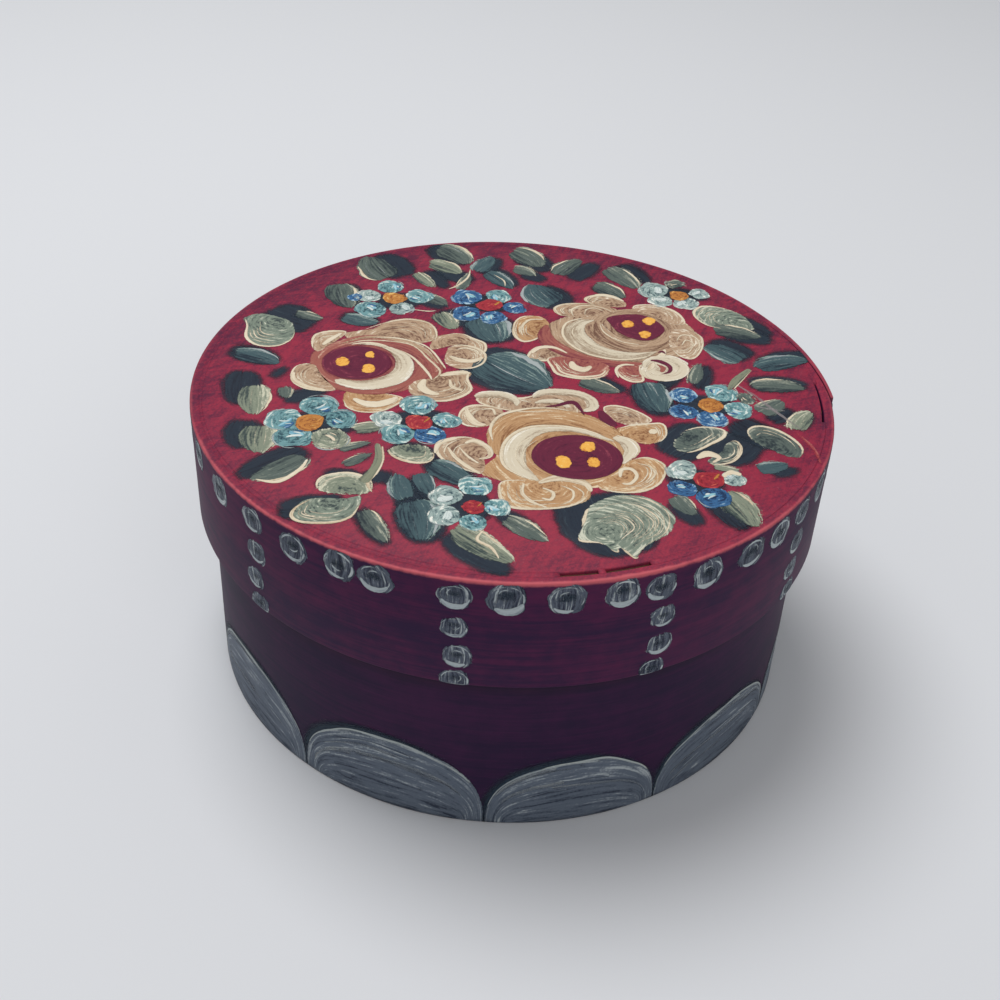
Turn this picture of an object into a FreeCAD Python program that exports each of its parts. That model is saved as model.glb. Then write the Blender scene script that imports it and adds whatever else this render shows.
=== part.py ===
import FreeCAD
import Part
import Sketcher

import math
import os

# A round lidded box of bent wood: a base with an upright wall, and a lid whose band slides down over it.
# Each band is one thin strip bent into a ring, its tapered ends lapped, glued and sewn with split root.
# Each board sits inside its band and is held by round wooden pegs driven in through the band.
# The origin is the middle of the underside, +Z is up, and angles are turned from +X towards +Y.

# Sizes in millimetres, angles in degrees

SIZES = {
    # The whole box
    "lid_diameter": 180.0,
    "box_height": 87.0,
    # The lid
    "lid_band_height": 33.5,
    "lid_band_thickness": 3.0,
    "lid_board_thickness": 6.0,
    "lid_board_shrinkage": 1.0,
    "lid_board_grain": 18.0,
    # The base
    "base_wall_thickness": 3.0,
    "base_board_thickness": 7.0,
    # Fits
    "lid_clearance": 0.8,
    "board_clearance": 0.15,
    # The laps of both bands
    "lap_length": 45.0,
    "lap_outer_end": 0.0,
    "lap_inner_tip": 0.7,
    "lap_glue_gap": 0.15,
    "lap_end_gap": 0.4,
    "lid_lap_outer_tip": 1.0,
    "base_lap_outer_tip": 0.4,
    # The root stitches
    "root_width": 2.2,
    "root_thickness": 0.9,
    "root_clearance": 0.05,
    "stitch_span": 7.0,
    "stitch_row_inset": 7.0,
    "stitch_edge_margin": 4.0,
    "lid_stitch_pitch": 5.5,
    "base_stitch_pitch": 7.0,
    # The pegs
    "peg_diameter": 2.2,
    "peg_point_diameter": 1.2,
    "peg_taper_length": 3.0,
    "peg_length": 15.0,
    "peg_count": 10,
    "first_peg": -75.0,
    "peg_clearance": 0.05,
}

document = FreeCAD.newDocument("BentwoodBox")
sheet = document.addObject("Spreadsheet::Sheet", "Sizes")
for row, (alias, size) in enumerate(SIZES.items(), start=1):
    sheet.set(f"A{row}", alias)
    sheet.set(f"B{row}", str(size))
    sheet.setAlias(f"B{row}", alias)
document.recompute()

# Sizes that follow from the ones above, as expressions on the sheet

LID_OUTER = "(Sizes.lid_diameter / 2)"
LID_INNER = f"({LID_OUTER} - Sizes.lid_band_thickness)"
BASE_OUTER = f"({LID_INNER} - Sizes.lid_clearance)"
BASE_INNER = f"({BASE_OUTER} - Sizes.base_wall_thickness)"
LID_BAND_FOOT = "(Sizes.box_height - Sizes.lid_band_height)"
LID_BOARD_UNDERSIDE = "(Sizes.box_height - Sizes.lid_board_thickness)"
LID_PEG_HEIGHT = "(Sizes.box_height - Sizes.lid_board_thickness / 2)"
BASE_PEG_HEIGHT = "(Sizes.base_board_thickness / 2)"


def worked_out(expression):
    """The number that an expression on the sheet comes to."""
    return float(sheet.evalExpression(str(expression)))


def degrees_along(length, radius):
    """The angle that a length takes up along a circle."""
    return f"({length} / {radius} * 180 / pi)"


def polar(radius, angle):
    """The two coordinates of a point given by its radius and its angle."""
    return f"{radius} * cos({angle})", f"{radius} * sin({angle})"


# Bodies, planes and sketches


def new_body(name):
    """One named sub-part, which may hold a group of separate like solids."""
    body = document.addObject("PartDesign::Body", name)
    body.Label = name
    body.AllowCompound = True
    return body


def origin_feature(body, role):
    """One of the body's own planes or axes."""
    return next(feature for feature in body.Origin.OriginFeatures if feature.Role == role)


def plan_sketch(body, name, height, turn):
    """A level sketch at a height, turned about the box's upright axis."""
    sketch = body.newObject("Sketcher::SketchObject", name)
    sketch.AttachmentSupport = [(origin_feature(body, "XY_Plane"), "")]
    sketch.MapMode = "FlatFace"
    up = FreeCAD.Vector(0, 0, 1)
    turned = FreeCAD.Rotation(up, worked_out(turn))
    sketch.AttachmentOffset = FreeCAD.Placement(up * worked_out(height), turned)
    sketch.setExpression(".AttachmentOffset.Base.z", height)
    sketch.setExpression(".AttachmentOffset.Rotation.Angle", turn)
    return sketch


def upright_sketch(body, name, height, turn):
    """An upright sketch that runs out from the box's axis, which is its own Y, at an angle."""
    sketch = body.newObject("Sketcher::SketchObject", name)
    sketch.AttachmentSupport = [(origin_feature(body, "XZ_Plane"), "")]
    sketch.MapMode = "FlatFace"
    up = FreeCAD.Vector(0, 1, 0)
    turned = FreeCAD.Rotation(up, worked_out(turn))
    sketch.AttachmentOffset = FreeCAD.Placement(up * worked_out(height), turned)
    sketch.setExpression(".AttachmentOffset.Base.y", height)
    sketch.setExpression(".AttachmentOffset.Rotation.Angle", turn)
    return sketch


def bind(sketch, name, constraint, expression):
    """Adds a dimension that follows the sheet."""
    index = sketch.addConstraint(constraint)
    sketch.renameConstraint(index, name)
    sketch.setExpression(f"Constraints.{name}", expression)


def place(sketch, name, geometry, end, corner):
    """Holds one end of a piece of outline at a corner, measured from the sketch's origin."""
    across, along = corner
    bind(
        sketch,
        f"{name}_across",
        Sketcher.Constraint("DistanceX", -1, 1, geometry, end, worked_out(across)),
        across,
    )
    if along == "0":
        sketch.addConstraint(Sketcher.Constraint("PointOnObject", geometry, end, -1))
        return
    bind(
        sketch,
        f"{name}_along",
        Sketcher.Constraint("DistanceY", -1, 1, geometry, end, worked_out(along)),
        along,
    )


def vector(corner):
    """The point in a sketch that a corner's two expressions come to."""
    return FreeCAD.Vector(worked_out(corner[0]), worked_out(corner[1]), 0)


def add_polygon(sketch, name, corners):
    """A closed outline of straight runs, each corner held by its own two dimensions."""
    points = [vector(corner) for corner in corners]
    lines = []
    for start, end in zip(points, points[1:] + points[:1]):
        lines.append(sketch.addGeometry(Part.LineSegment(start, end)))
    for line, following in zip(lines, lines[1:] + lines[:1]):
        sketch.addConstraint(Sketcher.Constraint("Coincident", line, 2, following, 1))
    for number, (line, corner) in enumerate(zip(lines, corners)):
        place(sketch, f"{name}_{number}", line, 1, corner)


def concentric_arc(radius, start_angle, end_angle):
    """An arc about the sketch's origin, from a start angle round to an end angle."""
    circle = Part.Circle(FreeCAD.Vector(), FreeCAD.Vector(0, 0, 1), worked_out(radius))
    start = math.radians(worked_out(start_angle))
    end = math.radians(worked_out(end_angle))
    return Part.ArcOfCircle(circle, start, end)


def tapering_arc(start_corner, end_corner, radius):
    """An arc between two corners whose centre lies near the sketch's origin."""
    start = vector(start_corner)
    end = vector(end_corner)
    size = worked_out(radius)
    middle = (start + end) / 2
    chord = end - start
    towards_centre = FreeCAD.Vector(-chord.y, chord.x, 0).normalize()
    centre = middle + towards_centre * math.sqrt(size ** 2 - chord.Length ** 2 / 4)
    circle = Part.Circle(centre, FreeCAD.Vector(0, 0, 1), size)
    first = math.atan2(start.y - centre.y, start.x - centre.x)
    last = math.atan2(end.y - centre.y, end.x - centre.x)
    return Part.ArcOfCircle(circle, first, last)


def add_lapped_strip(sketch, inner, outer, outer_tip):
    """The plan of a strip bent into a ring, with tapered ends lapped from angle 0 to the lap's angle."""
    lap = degrees_along("Sizes.lap_length", outer)
    inner_end = f"({lap} - {degrees_along('Sizes.lap_end_gap', inner)})"
    tip_face = f"({inner} + Sizes.lap_inner_tip)"
    corners = [
        polar(inner, lap),
        polar(inner, inner_end),
        polar(tip_face, inner_end),
        (outer, "0"),
        polar(outer, lap),
        (f"({outer} + {outer_tip})", "0"),
        (f"({outer} + Sizes.lap_glue_gap)", "0"),
        polar(f"({tip_face} + Sizes.lap_glue_gap)", lap),
    ]
    inside_radius = f"(({outer} + {tip_face}) / 2)"
    outside_radius = f"({outer} + {outer_tip} / 2)"
    under_radius = f"({inside_radius} + Sizes.lap_glue_gap)"
    pieces = [
        concentric_arc(inner, lap, f"{inner_end} + 360"),
        Part.LineSegment(vector(corners[1]), vector(corners[2])),
        tapering_arc(corners[3], corners[2], inside_radius),
        concentric_arc(outer, lap, "360"),
        tapering_arc(corners[5], corners[4], outside_radius),
        Part.LineSegment(vector(corners[5]), vector(corners[6])),
        tapering_arc(corners[6], corners[7], under_radius),
        Part.LineSegment(vector(corners[7]), vector(corners[0])),
    ]
    (inside, inner_tip, ply_face, outside, lap_face, tip_end, ply_back, step) = [
        sketch.addGeometry(piece) for piece in pieces
    ]
    joints = [
        (inside, 2, inner_tip, 1),
        (inner_tip, 2, ply_face, 2),
        (ply_face, 1, outside, 2),
        (outside, 1, lap_face, 2),
        (lap_face, 1, tip_end, 1),
        (tip_end, 2, ply_back, 1),
        (ply_back, 2, step, 1),
        (step, 2, inside, 1),
    ]
    for joint in joints:
        sketch.addConstraint(Sketcher.Constraint("Coincident", *joint))
    for name, ring, radius in (("inside", inside, inner), ("outside", outside, outer)):
        sketch.addConstraint(Sketcher.Constraint("Coincident", ring, 3, -1, 1))
        bind(sketch, name, Sketcher.Constraint("Radius", ring, worked_out(radius)), radius)
    tapers = [
        ("ply_face", ply_face, inside_radius),
        ("lap_face", lap_face, outside_radius),
        ("ply_back", ply_back, under_radius),
    ]
    for name, taper, radius in tapers:
        bind(sketch, name, Sketcher.Constraint("Radius", taper, worked_out(radius)), radius)
    heights = [
        ("step_foot", inside, 1, corners[0]),
        ("inner_tip_foot", inside, 2, corners[1]),
        ("lap_start", outside, 1, corners[4]),
    ]
    for name, geometry, end, (_, along) in heights:
        rise = Sketcher.Constraint("DistanceY", -1, 1, geometry, end, worked_out(along))
        bind(sketch, name, rise, along)
    place(sketch, "inner_tip_face", inner_tip, 2, corners[2])
    sketch.addConstraint(Sketcher.Constraint("PointOnObject", outside, 2, -1))
    place(sketch, "outer_tip_face", tip_end, 1, corners[5])
    place(sketch, "outer_tip_back", tip_end, 2, corners[6])
    place(sketch, "step_head", step, 1, corners[7])


# Features


def keep_last(body, feature):
    """Makes a feature the body's result and works it out."""
    body.Tip = feature
    document.recompute()


def pad(body, name, sketch, height):
    """A level sketch drawn upwards."""
    feature = body.newObject("PartDesign::Pad", name)
    feature.Profile = sketch
    feature.setExpression("Length", height)
    keep_last(body, feature)
    return feature


def cut(body, kind, name, sketch, settings):
    """A feature that takes wood away, with a test that it does."""
    before = body.Shape.Volume
    feature = body.newObject(kind, name)
    feature.Profile = sketch
    for setting, value in settings.items():
        setattr(feature, setting, value)
    keep_last(body, feature)
    if body.Shape.Volume >= before:
        raise RuntimeError(f"{name} takes nothing from {body.Label}")
    return feature


def repeat_round(body, name, feature, count):
    """Repeats a feature evenly round the box's upright axis."""
    pattern = body.newObject("PartDesign::PolarPattern", name)
    pattern.Originals = [feature]
    pattern.Axis = (origin_feature(body, "Z_Axis"), [""])
    pattern.Angle = 360
    pattern.setExpression("Occurrences", count)
    keep_last(body, pattern)


def repeat_upwards(body, name, feature, count, pitch):
    """Repeats a feature in an upright row."""
    pattern = body.newObject("PartDesign::LinearPattern", name)
    pattern.Originals = [feature]
    pattern.Direction = (origin_feature(body, "Z_Axis"), [""])
    pattern.setExpression("Length", f"{pitch} * ({count} - 1)")
    pattern.setExpression("Occurrences", count)
    keep_last(body, pattern)


# Pegs


def peg_sketch(body, name, head_radius, height, clearance):
    """Half of a peg's long section, from its point to its head, or of its hole with a clearance."""
    sketch = upright_sketch(body, name, height, "Sizes.first_peg")
    point = f"({head_radius} - Sizes.peg_length)"
    shank = f"(Sizes.peg_diameter / 2 + {clearance})"
    point_shank = f"(Sizes.peg_point_diameter / 2 + {clearance})"
    head = f"({head_radius} + {clearance})"
    corners = [
        (f"({point} - {clearance})", "0"),
        (f"({point} - {clearance})", point_shank),
        (f"({point} + Sizes.peg_taper_length)", shank),
        (head, shank),
        (head, "0"),
    ]
    add_polygon(sketch, "peg", corners)
    return sketch


def make_pegs(name, head_radius, height):
    """A ring of pegs, each with its head flush with the band and its point in the board."""
    body = new_body(name)
    sketch = peg_sketch(body, f"{name}_section", head_radius, height, "0")
    feature = body.newObject("PartDesign::Revolution", f"{name}_shank")
    feature.Profile = sketch
    feature.ReferenceAxis = (sketch, ["H_Axis"])
    feature.Angle = 360
    keep_last(body, feature)
    repeat_round(body, f"{name}_ring", feature, "Sizes.peg_count")
    return body


def drill_for_pegs(body, head_radius, height):
    """The holes that the pegs of one ring leave in a band or a board."""
    name = f"{body.Label}_peg_hole"
    sketch = peg_sketch(body, f"{name}_section", head_radius, height, "Sizes.peg_clearance")
    settings = {"ReferenceAxis": (sketch, ["H_Axis"]), "Angle": 360}
    hole = cut(body, "PartDesign::Groove", name, sketch, settings)
    repeat_round(body, f"{name}_ring", hole, "Sizes.peg_count")


# Root stitches


class StitchRow:
    """One upright row of root stitches through the two plies of a lap."""

    def __init__(self, end, inner, outer, outer_tip, foot, head, pitch):
        lap = degrees_along("Sizes.lap_length", outer)
        inset = degrees_along("Sizes.stitch_row_inset", outer)
        along = {"outer": inset, "inner": f"({lap} - {inset})"}[end]
        self.end = end
        self.turn = f"Sizes.lap_outer_end + {along}"
        self.inside = inner
        self.outside = f"({outer} + {outer_tip} * (1 - {along} / {lap}))"
        self.foot = f"({foot} + Sizes.stitch_edge_margin)"
        self.pitch = pitch
        run = f"({head} - Sizes.stitch_edge_margin - Sizes.root_width - {self.foot})"
        self.count = f"(floor({run} / {pitch}) + 1)"

    def sketch(self, body, name, clearance):
        """The plan of one stitch, a flat loop of root round both plies."""
        sketch = plan_sketch(body, name, f"{self.foot} - {clearance}", self.turn)
        half_span = f"(Sizes.stitch_span / 2 + {clearance})"
        half_hole = f"(Sizes.stitch_span / 2 - Sizes.root_thickness - {clearance})"
        for part, half, low, high in (
            ("loop", half_span, f"({self.inside} - {clearance})", f"({self.outside} + {clearance})"),
            (
                "core",
                half_hole,
                f"({self.inside} + Sizes.root_thickness + {clearance})",
                f"({self.outside} - Sizes.root_thickness - {clearance})",
            ),
        ):
            corners = [(low, f"-{half}"), (high, f"-{half}"), (high, half), (low, half)]
            add_polygon(sketch, part, corners)
        return sketch


def make_stitches(name, row):
    """The root stitches of one row, each a closed loop."""
    body = new_body(name)
    sketch = row.sketch(body, f"{name}_plan", "0")
    loop = pad(body, f"{name}_loop", sketch, "Sizes.root_width")
    repeat_upwards(body, f"{name}_row", loop, row.count, row.pitch)
    return body


def slit_for_stitches(body, row):
    """The slits and shallow seats that one row of stitches leaves in a band."""
    name = f"{body.Label}_{row.end}_slit"
    sketch = row.sketch(body, f"{name}_plan", "Sizes.root_clearance")
    settings = {"Length": worked_out("Sizes.root_width + 2 * Sizes.root_clearance"), "Reversed": True}
    slit = cut(body, "PartDesign::Pocket", name, sketch, settings)
    slit.setExpression("Length", "Sizes.root_width + 2 * Sizes.root_clearance")
    repeat_upwards(body, f"{name}_row", slit, row.count, row.pitch)


# Bands and boards


def make_band(name, inner, outer, outer_tip, foot, height, peg_height, rows):
    """A lapped strip with its peg holes and its slits."""
    body = new_body(name)
    sketch = plan_sketch(body, f"{name}_plan", foot, "Sizes.lap_outer_end")
    add_lapped_strip(sketch, inner, outer, outer_tip)
    pad(body, f"{name}_strip", sketch, height)
    drill_for_pegs(body, outer, peg_height)
    for row in rows:
        slit_for_stitches(body, row)
    return body


def add_round_outline(sketch, radius):
    """A board cut to a true circle."""
    circle = Part.Circle(FreeCAD.Vector(), FreeCAD.Vector(0, 0, 1), worked_out(radius))
    rim = sketch.addGeometry(circle)
    sketch.addConstraint(Sketcher.Constraint("Coincident", rim, 3, -1, 1))
    bind(sketch, "rim", Sketcher.Constraint("Radius", rim, worked_out(radius)), radius)


def add_shrunk_outline(sketch, radius, shrinkage):
    """A board that has shrunk across its grain: two arcs that meet where the grain, the sketch's X, ends."""
    size = worked_out(radius)
    shift = worked_out(shrinkage)
    corner = math.asin(shift / size)
    arcs = []
    for centre_height, first in ((-shift, corner), (shift, corner + math.pi)):
        circle = Part.Circle(FreeCAD.Vector(0, centre_height, 0), FreeCAD.Vector(0, 0, 1), size)
        arcs.append(sketch.addGeometry(Part.ArcOfCircle(circle, first, first + math.pi - 2 * corner)))
    far, near = arcs
    for end in (1, 2):
        sketch.addConstraint(Sketcher.Constraint("Coincident", far, end, near, 3 - end))
        sketch.addConstraint(Sketcher.Constraint("PointOnObject", far, end, -1))
    sketch.addConstraint(Sketcher.Constraint("PointOnObject", far, 3, -2))
    sketch.addConstraint(Sketcher.Constraint("Equal", far, near))
    bind(sketch, "rim", Sketcher.Constraint("Radius", far, size), radius)
    bind(sketch, "shift", Sketcher.Constraint("DistanceY", far, 3, -1, 1, shift), shrinkage)


def make_board(name, outline, grain, foot, thickness, peg_head, peg_height):
    """A round board, given by its radius and any shrinkage across its grain, drilled for its pegs."""
    body = new_body(name)
    sketch = plan_sketch(body, f"{name}_plan", foot, grain)
    add_outline = add_round_outline if len(outline) == 1 else add_shrunk_outline
    add_outline(sketch, *outline)
    pad(body, f"{name}_blank", sketch, thickness)
    drill_for_pegs(body, peg_head, peg_height)
    return body


# The lid

lid_rows = [
    StitchRow(
        end,
        LID_INNER,
        LID_OUTER,
        "Sizes.lid_lap_outer_tip",
        LID_BAND_FOOT,
        LID_BOARD_UNDERSIDE,
        "Sizes.lid_stitch_pitch",
    )
    for end in ("outer", "inner")
]
lid_board_radius = f"({LID_INNER} - Sizes.board_clearance)"
lid_pieces = [
    make_board(
        "lid_board",
        (lid_board_radius, "Sizes.lid_board_shrinkage"),
        "Sizes.lid_board_grain",
        LID_BOARD_UNDERSIDE,
        "Sizes.lid_board_thickness",
        LID_OUTER,
        LID_PEG_HEIGHT,
    ),
    make_band(
        "lid_band",
        LID_INNER,
        LID_OUTER,
        "Sizes.lid_lap_outer_tip",
        LID_BAND_FOOT,
        "Sizes.lid_band_height",
        LID_PEG_HEIGHT,
        lid_rows,
    ),
    make_pegs("lid_pegs", LID_OUTER, LID_PEG_HEIGHT),
]
lid_pieces += [make_stitches(f"lid_{row.end}_stitches", row) for row in lid_rows]

# The base, whose wall stands as high as the underside of the lid's board

base_rows = [
    StitchRow(
        end,
        BASE_INNER,
        BASE_OUTER,
        "Sizes.base_lap_outer_tip",
        "Sizes.base_board_thickness",
        LID_BOARD_UNDERSIDE,
        "Sizes.base_stitch_pitch",
    )
    for end in ("outer", "inner")
]
base_board_radius = f"({BASE_INNER} - Sizes.board_clearance)"
base_pieces = [
    make_board(
        "base_board",
        (base_board_radius,),
        "0",
        "0",
        "Sizes.base_board_thickness",
        BASE_OUTER,
        BASE_PEG_HEIGHT,
    ),
    make_band(
        "base_wall",
        BASE_INNER,
        BASE_OUTER,
        "Sizes.base_lap_outer_tip",
        "0",
        LID_BOARD_UNDERSIDE,
        BASE_PEG_HEIGHT,
        base_rows,
    ),
    make_pegs("base_pegs", BASE_OUTER, BASE_PEG_HEIGHT),
]
base_pieces += [make_stitches(f"base_{row.end}_stitches", row) for row in base_rows]

# Tests, then one file for each sub-part

document.recompute()
for item in document.Objects:
    if {"Invalid", "Error"} & set(item.State):
        raise RuntimeError(f"{item.Label} failed: {item.State}")

os.makedirs("parts", exist_ok=True)
for body in lid_pieces + base_pieces:
    shape = body.Shape
    if shape.isNull() or not shape.isValid():
        raise RuntimeError(f"{body.Label} has no sound shape")
    print(f"{body.Label}: {len(shape.Solids)} solids, {shape.Volume:.1f} cubic mm")
for body in lid_pieces + base_pieces:
    body.Shape.exportStep(f"parts/{body.Label}.step")
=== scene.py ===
import math
import random

import bmesh
import bpy
from mathutils import Matrix, Vector, noise


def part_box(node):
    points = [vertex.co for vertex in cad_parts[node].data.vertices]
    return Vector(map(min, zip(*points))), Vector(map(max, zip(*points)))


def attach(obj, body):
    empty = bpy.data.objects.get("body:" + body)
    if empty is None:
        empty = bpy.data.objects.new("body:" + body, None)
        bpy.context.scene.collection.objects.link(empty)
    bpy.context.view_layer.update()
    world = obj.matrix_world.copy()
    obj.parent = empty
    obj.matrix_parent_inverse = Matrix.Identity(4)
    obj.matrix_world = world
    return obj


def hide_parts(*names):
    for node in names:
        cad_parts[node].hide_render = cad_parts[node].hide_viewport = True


# A round bentwood box: bare wood inside, oil paint outside, flowers and leaves in raised brush strokes.
# Lengths are in metres unless a name or a comment says millimetres, and angles are in degrees.

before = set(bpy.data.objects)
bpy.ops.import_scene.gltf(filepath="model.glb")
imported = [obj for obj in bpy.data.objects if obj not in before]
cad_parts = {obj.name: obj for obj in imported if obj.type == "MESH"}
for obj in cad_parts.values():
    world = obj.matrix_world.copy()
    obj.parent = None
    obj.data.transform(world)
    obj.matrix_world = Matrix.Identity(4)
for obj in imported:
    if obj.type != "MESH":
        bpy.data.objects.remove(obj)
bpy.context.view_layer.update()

MM = 0.001

# Sizes read from the frame

LID_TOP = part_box("lid_band")[1].z
LID_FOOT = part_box("lid_band")[0].z
LID_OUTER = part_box("lid_band")[1].y
BASE_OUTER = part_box("base_wall")[1].y
WALL_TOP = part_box("base_wall")[1].z
LID_BOARD_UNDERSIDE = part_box("lid_board")[0].z
BASE_BOARD_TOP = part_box("base_board")[1].z

# Sizes that the construction gives

BAND_THICKNESS = 3 * MM
LAP_LENGTH = 45 * MM
LAP_INNER_TIP = 0.7 * MM
LAP_GLUE_GAP = 0.15 * MM
LAP_END_GAP = 0.4 * MM
LID_LAP_TIP = 1.0 * MM
BASE_LAP_TIP = 0.4 * MM
BOARD_CLEARANCE = 0.15 * MM
BOARD_SHRINKAGE = 1.0 * MM
BOARD_GRAIN_ANGLE = 18
LID_INNER = LID_OUTER - BAND_THICKNESS
BASE_INNER = BASE_OUTER - BAND_THICKNESS

# The wood lies this far inside the solids, which leaves room for the paint on it

PAINT_ROOM = 0.17 * MM
GROUND_TOP = LID_TOP - PAINT_ROOM
LID_GROUND = LID_OUTER - PAINT_ROOM
BASE_GROUND = BASE_OUTER - PAINT_ROOM


def colour(red, green, blue):
    """A paint's colour, given as it shows on a screen from 0 to 255, as the light it reflects."""
    shares = []
    for level in (red, green, blue):
        share = level / 255
        shares.append(share / 12.92 if share <= 0.04045 else ((share + 0.055) / 1.055) ** 2.4)
    return (*shares, 1.0)


# Materials


class Shade:
    """A value that varies over a surface: arithmetic on it adds Math nodes to its finish."""

    def __init__(self, finish, socket):
        self.finish = finish
        self.socket = socket

    def __add__(self, other):
        return self.finish.maths("ADD", self, other)

    def __sub__(self, other):
        return self.finish.maths("SUBTRACT", self, other)

    def __rsub__(self, other):
        return self.finish.maths("SUBTRACT", other, self)

    def __mul__(self, other):
        return self.finish.maths("MULTIPLY", self, other)

    __radd__ = __add__
    __rmul__ = __mul__


GLOSS = 0.2
RELIEF = 0.1 * MM
PAINT_RELIEF = 0.12 * MM


class Finish:
    """A material whose patterns feed one shader."""

    def __init__(self, name, roughness=0.6):
        self.material = bpy.data.materials.new(name)
        self.material.use_nodes = True
        self.tree = self.material.node_tree
        self.shader = self.tree.nodes["Principled BSDF"]
        self.shader.inputs["Roughness"].default_value = roughness
        self.shader.inputs["Specular IOR Level"].default_value = GLOSS

    def feed(self, socket, value):
        """Links a varying value to a socket, or sets the socket to a plain one."""
        if isinstance(value, Shade):
            self.tree.links.new(value.socket, socket)
        else:
            socket.default_value = value

    def node(self, kind, settings, inputs, output=0):
        """Adds a node with its settings and inputs, and gives the value that comes out of it."""
        made = self.tree.nodes.new(f"ShaderNode{kind}")
        for setting, value in settings.items():
            setattr(made, setting, value)
        for socket, value in inputs.items():
            self.feed(made.inputs[socket], value)
        return Shade(self, made.outputs[output])

    def maths(self, operation, first, second):
        return self.node("Math", {"operation": operation}, {0: first, 1: second})

    def mix(self, share, first, second):
        return self.node("Mix", {"data_type": "RGBA"}, {0: share, 6: first, 7: second}, 2)

    def steps(self, value, low, high):
        """Runs smoothly from 0 at the low value to 1 at the high one."""
        inputs = {"Value": value, "From Min": low, "From Max": high}
        return self.node("MapRange", {"interpolation_type": "SMOOTHSTEP"}, inputs)

    def place(self, scale, turn=0):
        """Where a point lies on the object, turned about the upright axis and then stretched."""
        spot = self.node("TexCoord", {}, {}, "Object")
        turned = {"Vector": spot, "Rotation": (0, 0, math.radians(turn))}
        level = self.node("Mapping", {}, turned)
        return self.node("Mapping", {}, {"Vector": level, "Scale": scale})

    def along_axes(self):
        """The three coordinates of a point and its distance from the upright axis."""
        spot = self.node("TexCoord", {}, {}, "Object")
        apart = [self.node("SeparateXYZ", {}, {"Vector": spot}, axis) for axis in range(3)]
        squares = apart[0] * apart[0] + apart[1] * apart[1]
        return (*apart, self.maths("POWER", squares, 0.5))

    def cloud(self, vector, scale=1.0, detail=2.0, roughness=0.5):
        """Soft noise from 0 to 1."""
        inputs = {"Vector": vector, "Scale": scale, "Detail": detail, "Roughness": roughness}
        return self.node("TexNoise", {}, inputs)

    def attribute(self, name, output="Fac"):
        return self.node("Attribute", {"attribute_name": name}, {}, output)

    def finished(self, base, height=None, depth=RELIEF, strength=0.5, alpha=None):
        """Joins the patterns to the shader and gives the material."""
        self.feed(self.shader.inputs["Base Color"], base)
        if alpha is not None:
            self.feed(self.shader.inputs["Alpha"], alpha)
        if height is not None:
            inputs = {"Height": height, "Distance": depth, "Strength": strength}
            self.feed(self.shader.inputs["Normal"], self.node("Bump", {}, inputs))
        return self.material


# Colours of the ground paint and of the bare wood

CRIMSON = colour(156, 43, 68)
DEEP_CRIMSON = colour(84, 26, 58)
# Dark maroon paint of the sides, its purple cast partly painted reflection of blue light
BAND_MAROON = colour(80, 20, 64)
BAND_SHADE = colour(42, 14, 56)
# A darker copy of the band's maroon for the wall below the lid: painted shade
WALL_MAROON_IN_SHADE = colour(57, 16, 59)
WALL_STREAKS_IN_SHADE = colour(34, 12, 50)
# Pink of rubbed red paint, also laid over the lid's front as painted light
WORN_AND_LIT_PINK = colour(206, 96, 108)
# Pink of the band's worn top corner, laid on more strongly at the front as painted highlight
WORN_AND_LIT_EDGE_PINK = colour(214, 104, 112)
# Near black of the painted shadow just below the lid's foot
LID_FOOT_SHADOW_DARK = colour(30, 12, 32)
PALE_WOOD = colour(216, 186, 144)
BROWN_WOOD = colour(199, 164, 120)
DARK_GRAIN = colour(176, 138, 98)
ROOT_LIGHT = colour(150, 96, 62)
ROOT_DARK = colour(92, 52, 36)
PEG_LIGHT = colour(190, 148, 100)
PEG_DARK = colour(132, 92, 58)

# How finely the growth lines lie along a board's axes and a band's

BOARD_STRETCH = (14, 260, 40)
BAND_STRETCH = (14, 14, 560)


def wood_grain(finish, spot):
    """Bare planed softwood with its growth lines stretched along the piece."""
    rings = finish.cloud(spot, 1.0, 3.0)
    fine = finish.cloud(spot, 4.5, 2.0)
    tone = finish.mix(finish.steps(rings, 0.38, 0.62), PALE_WOOD, BROWN_WOOD)
    lines = finish.steps(fine, 0.56, 0.7) * 0.55
    return finish.mix(lines, tone, DARK_GRAIN), rings


def crimson_ground(finish):
    """Red oil paint, scrubbed on thinly, darker in smears and towards the rim, with painted shade towards
    the back left and painted light that makes it paler at the front.
    """
    x, y, _, radius = finish.along_axes()
    hairs = finish.cloud(finish.place((1100, 120, 120), BOARD_GRAIN_ANGLE), 1.0, 4.0, 0.65) - 0.5
    cross = finish.cloud(finish.place((160, 900, 160), -24), 1.0, 3.0, 0.6) - 0.5
    scrub = finish.cloud(finish.place((210, 120, 120), 30), 1.0, 5.0, 0.7) - 0.5
    grain = finish.cloud(finish.place((1700, 1700, 1700)), 1.0, 2.0) - 0.5
    patches = finish.cloud(finish.place((34, 34, 34)), 1.0, 2.0)
    rim = finish.steps(radius + patches * 0.012, 0.078, 0.096)
    # Painted shade: the red darkens towards the back left
    far = finish.steps(y * 0.75 - x * 0.5 + patches * 0.03, 0.015, 0.085)
    veil = rim * 0.3 + far * 0.22 + hairs * 1.3 + cross * 1.0 + scrub * 1.5 + grain * 1.3
    dark = finish.steps(veil, -0.35, 0.95)
    base = finish.mix(dark, CRIMSON, DEEP_CRIMSON)
    # Painted light: the red pales towards the front, on top of the rubbed wear
    front = finish.steps(0 - y + patches * 0.03, 0.03, 0.1) * 0.1
    rubs_and_front_light = finish.steps(hairs * 1.4 + grain * 1.6 - scrub * 0.7, 0.2, 0.7) * 0.38 + front
    return finish.mix(rubs_and_front_light, base, WORN_AND_LIT_PINK), hairs + grain * 0.7


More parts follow.
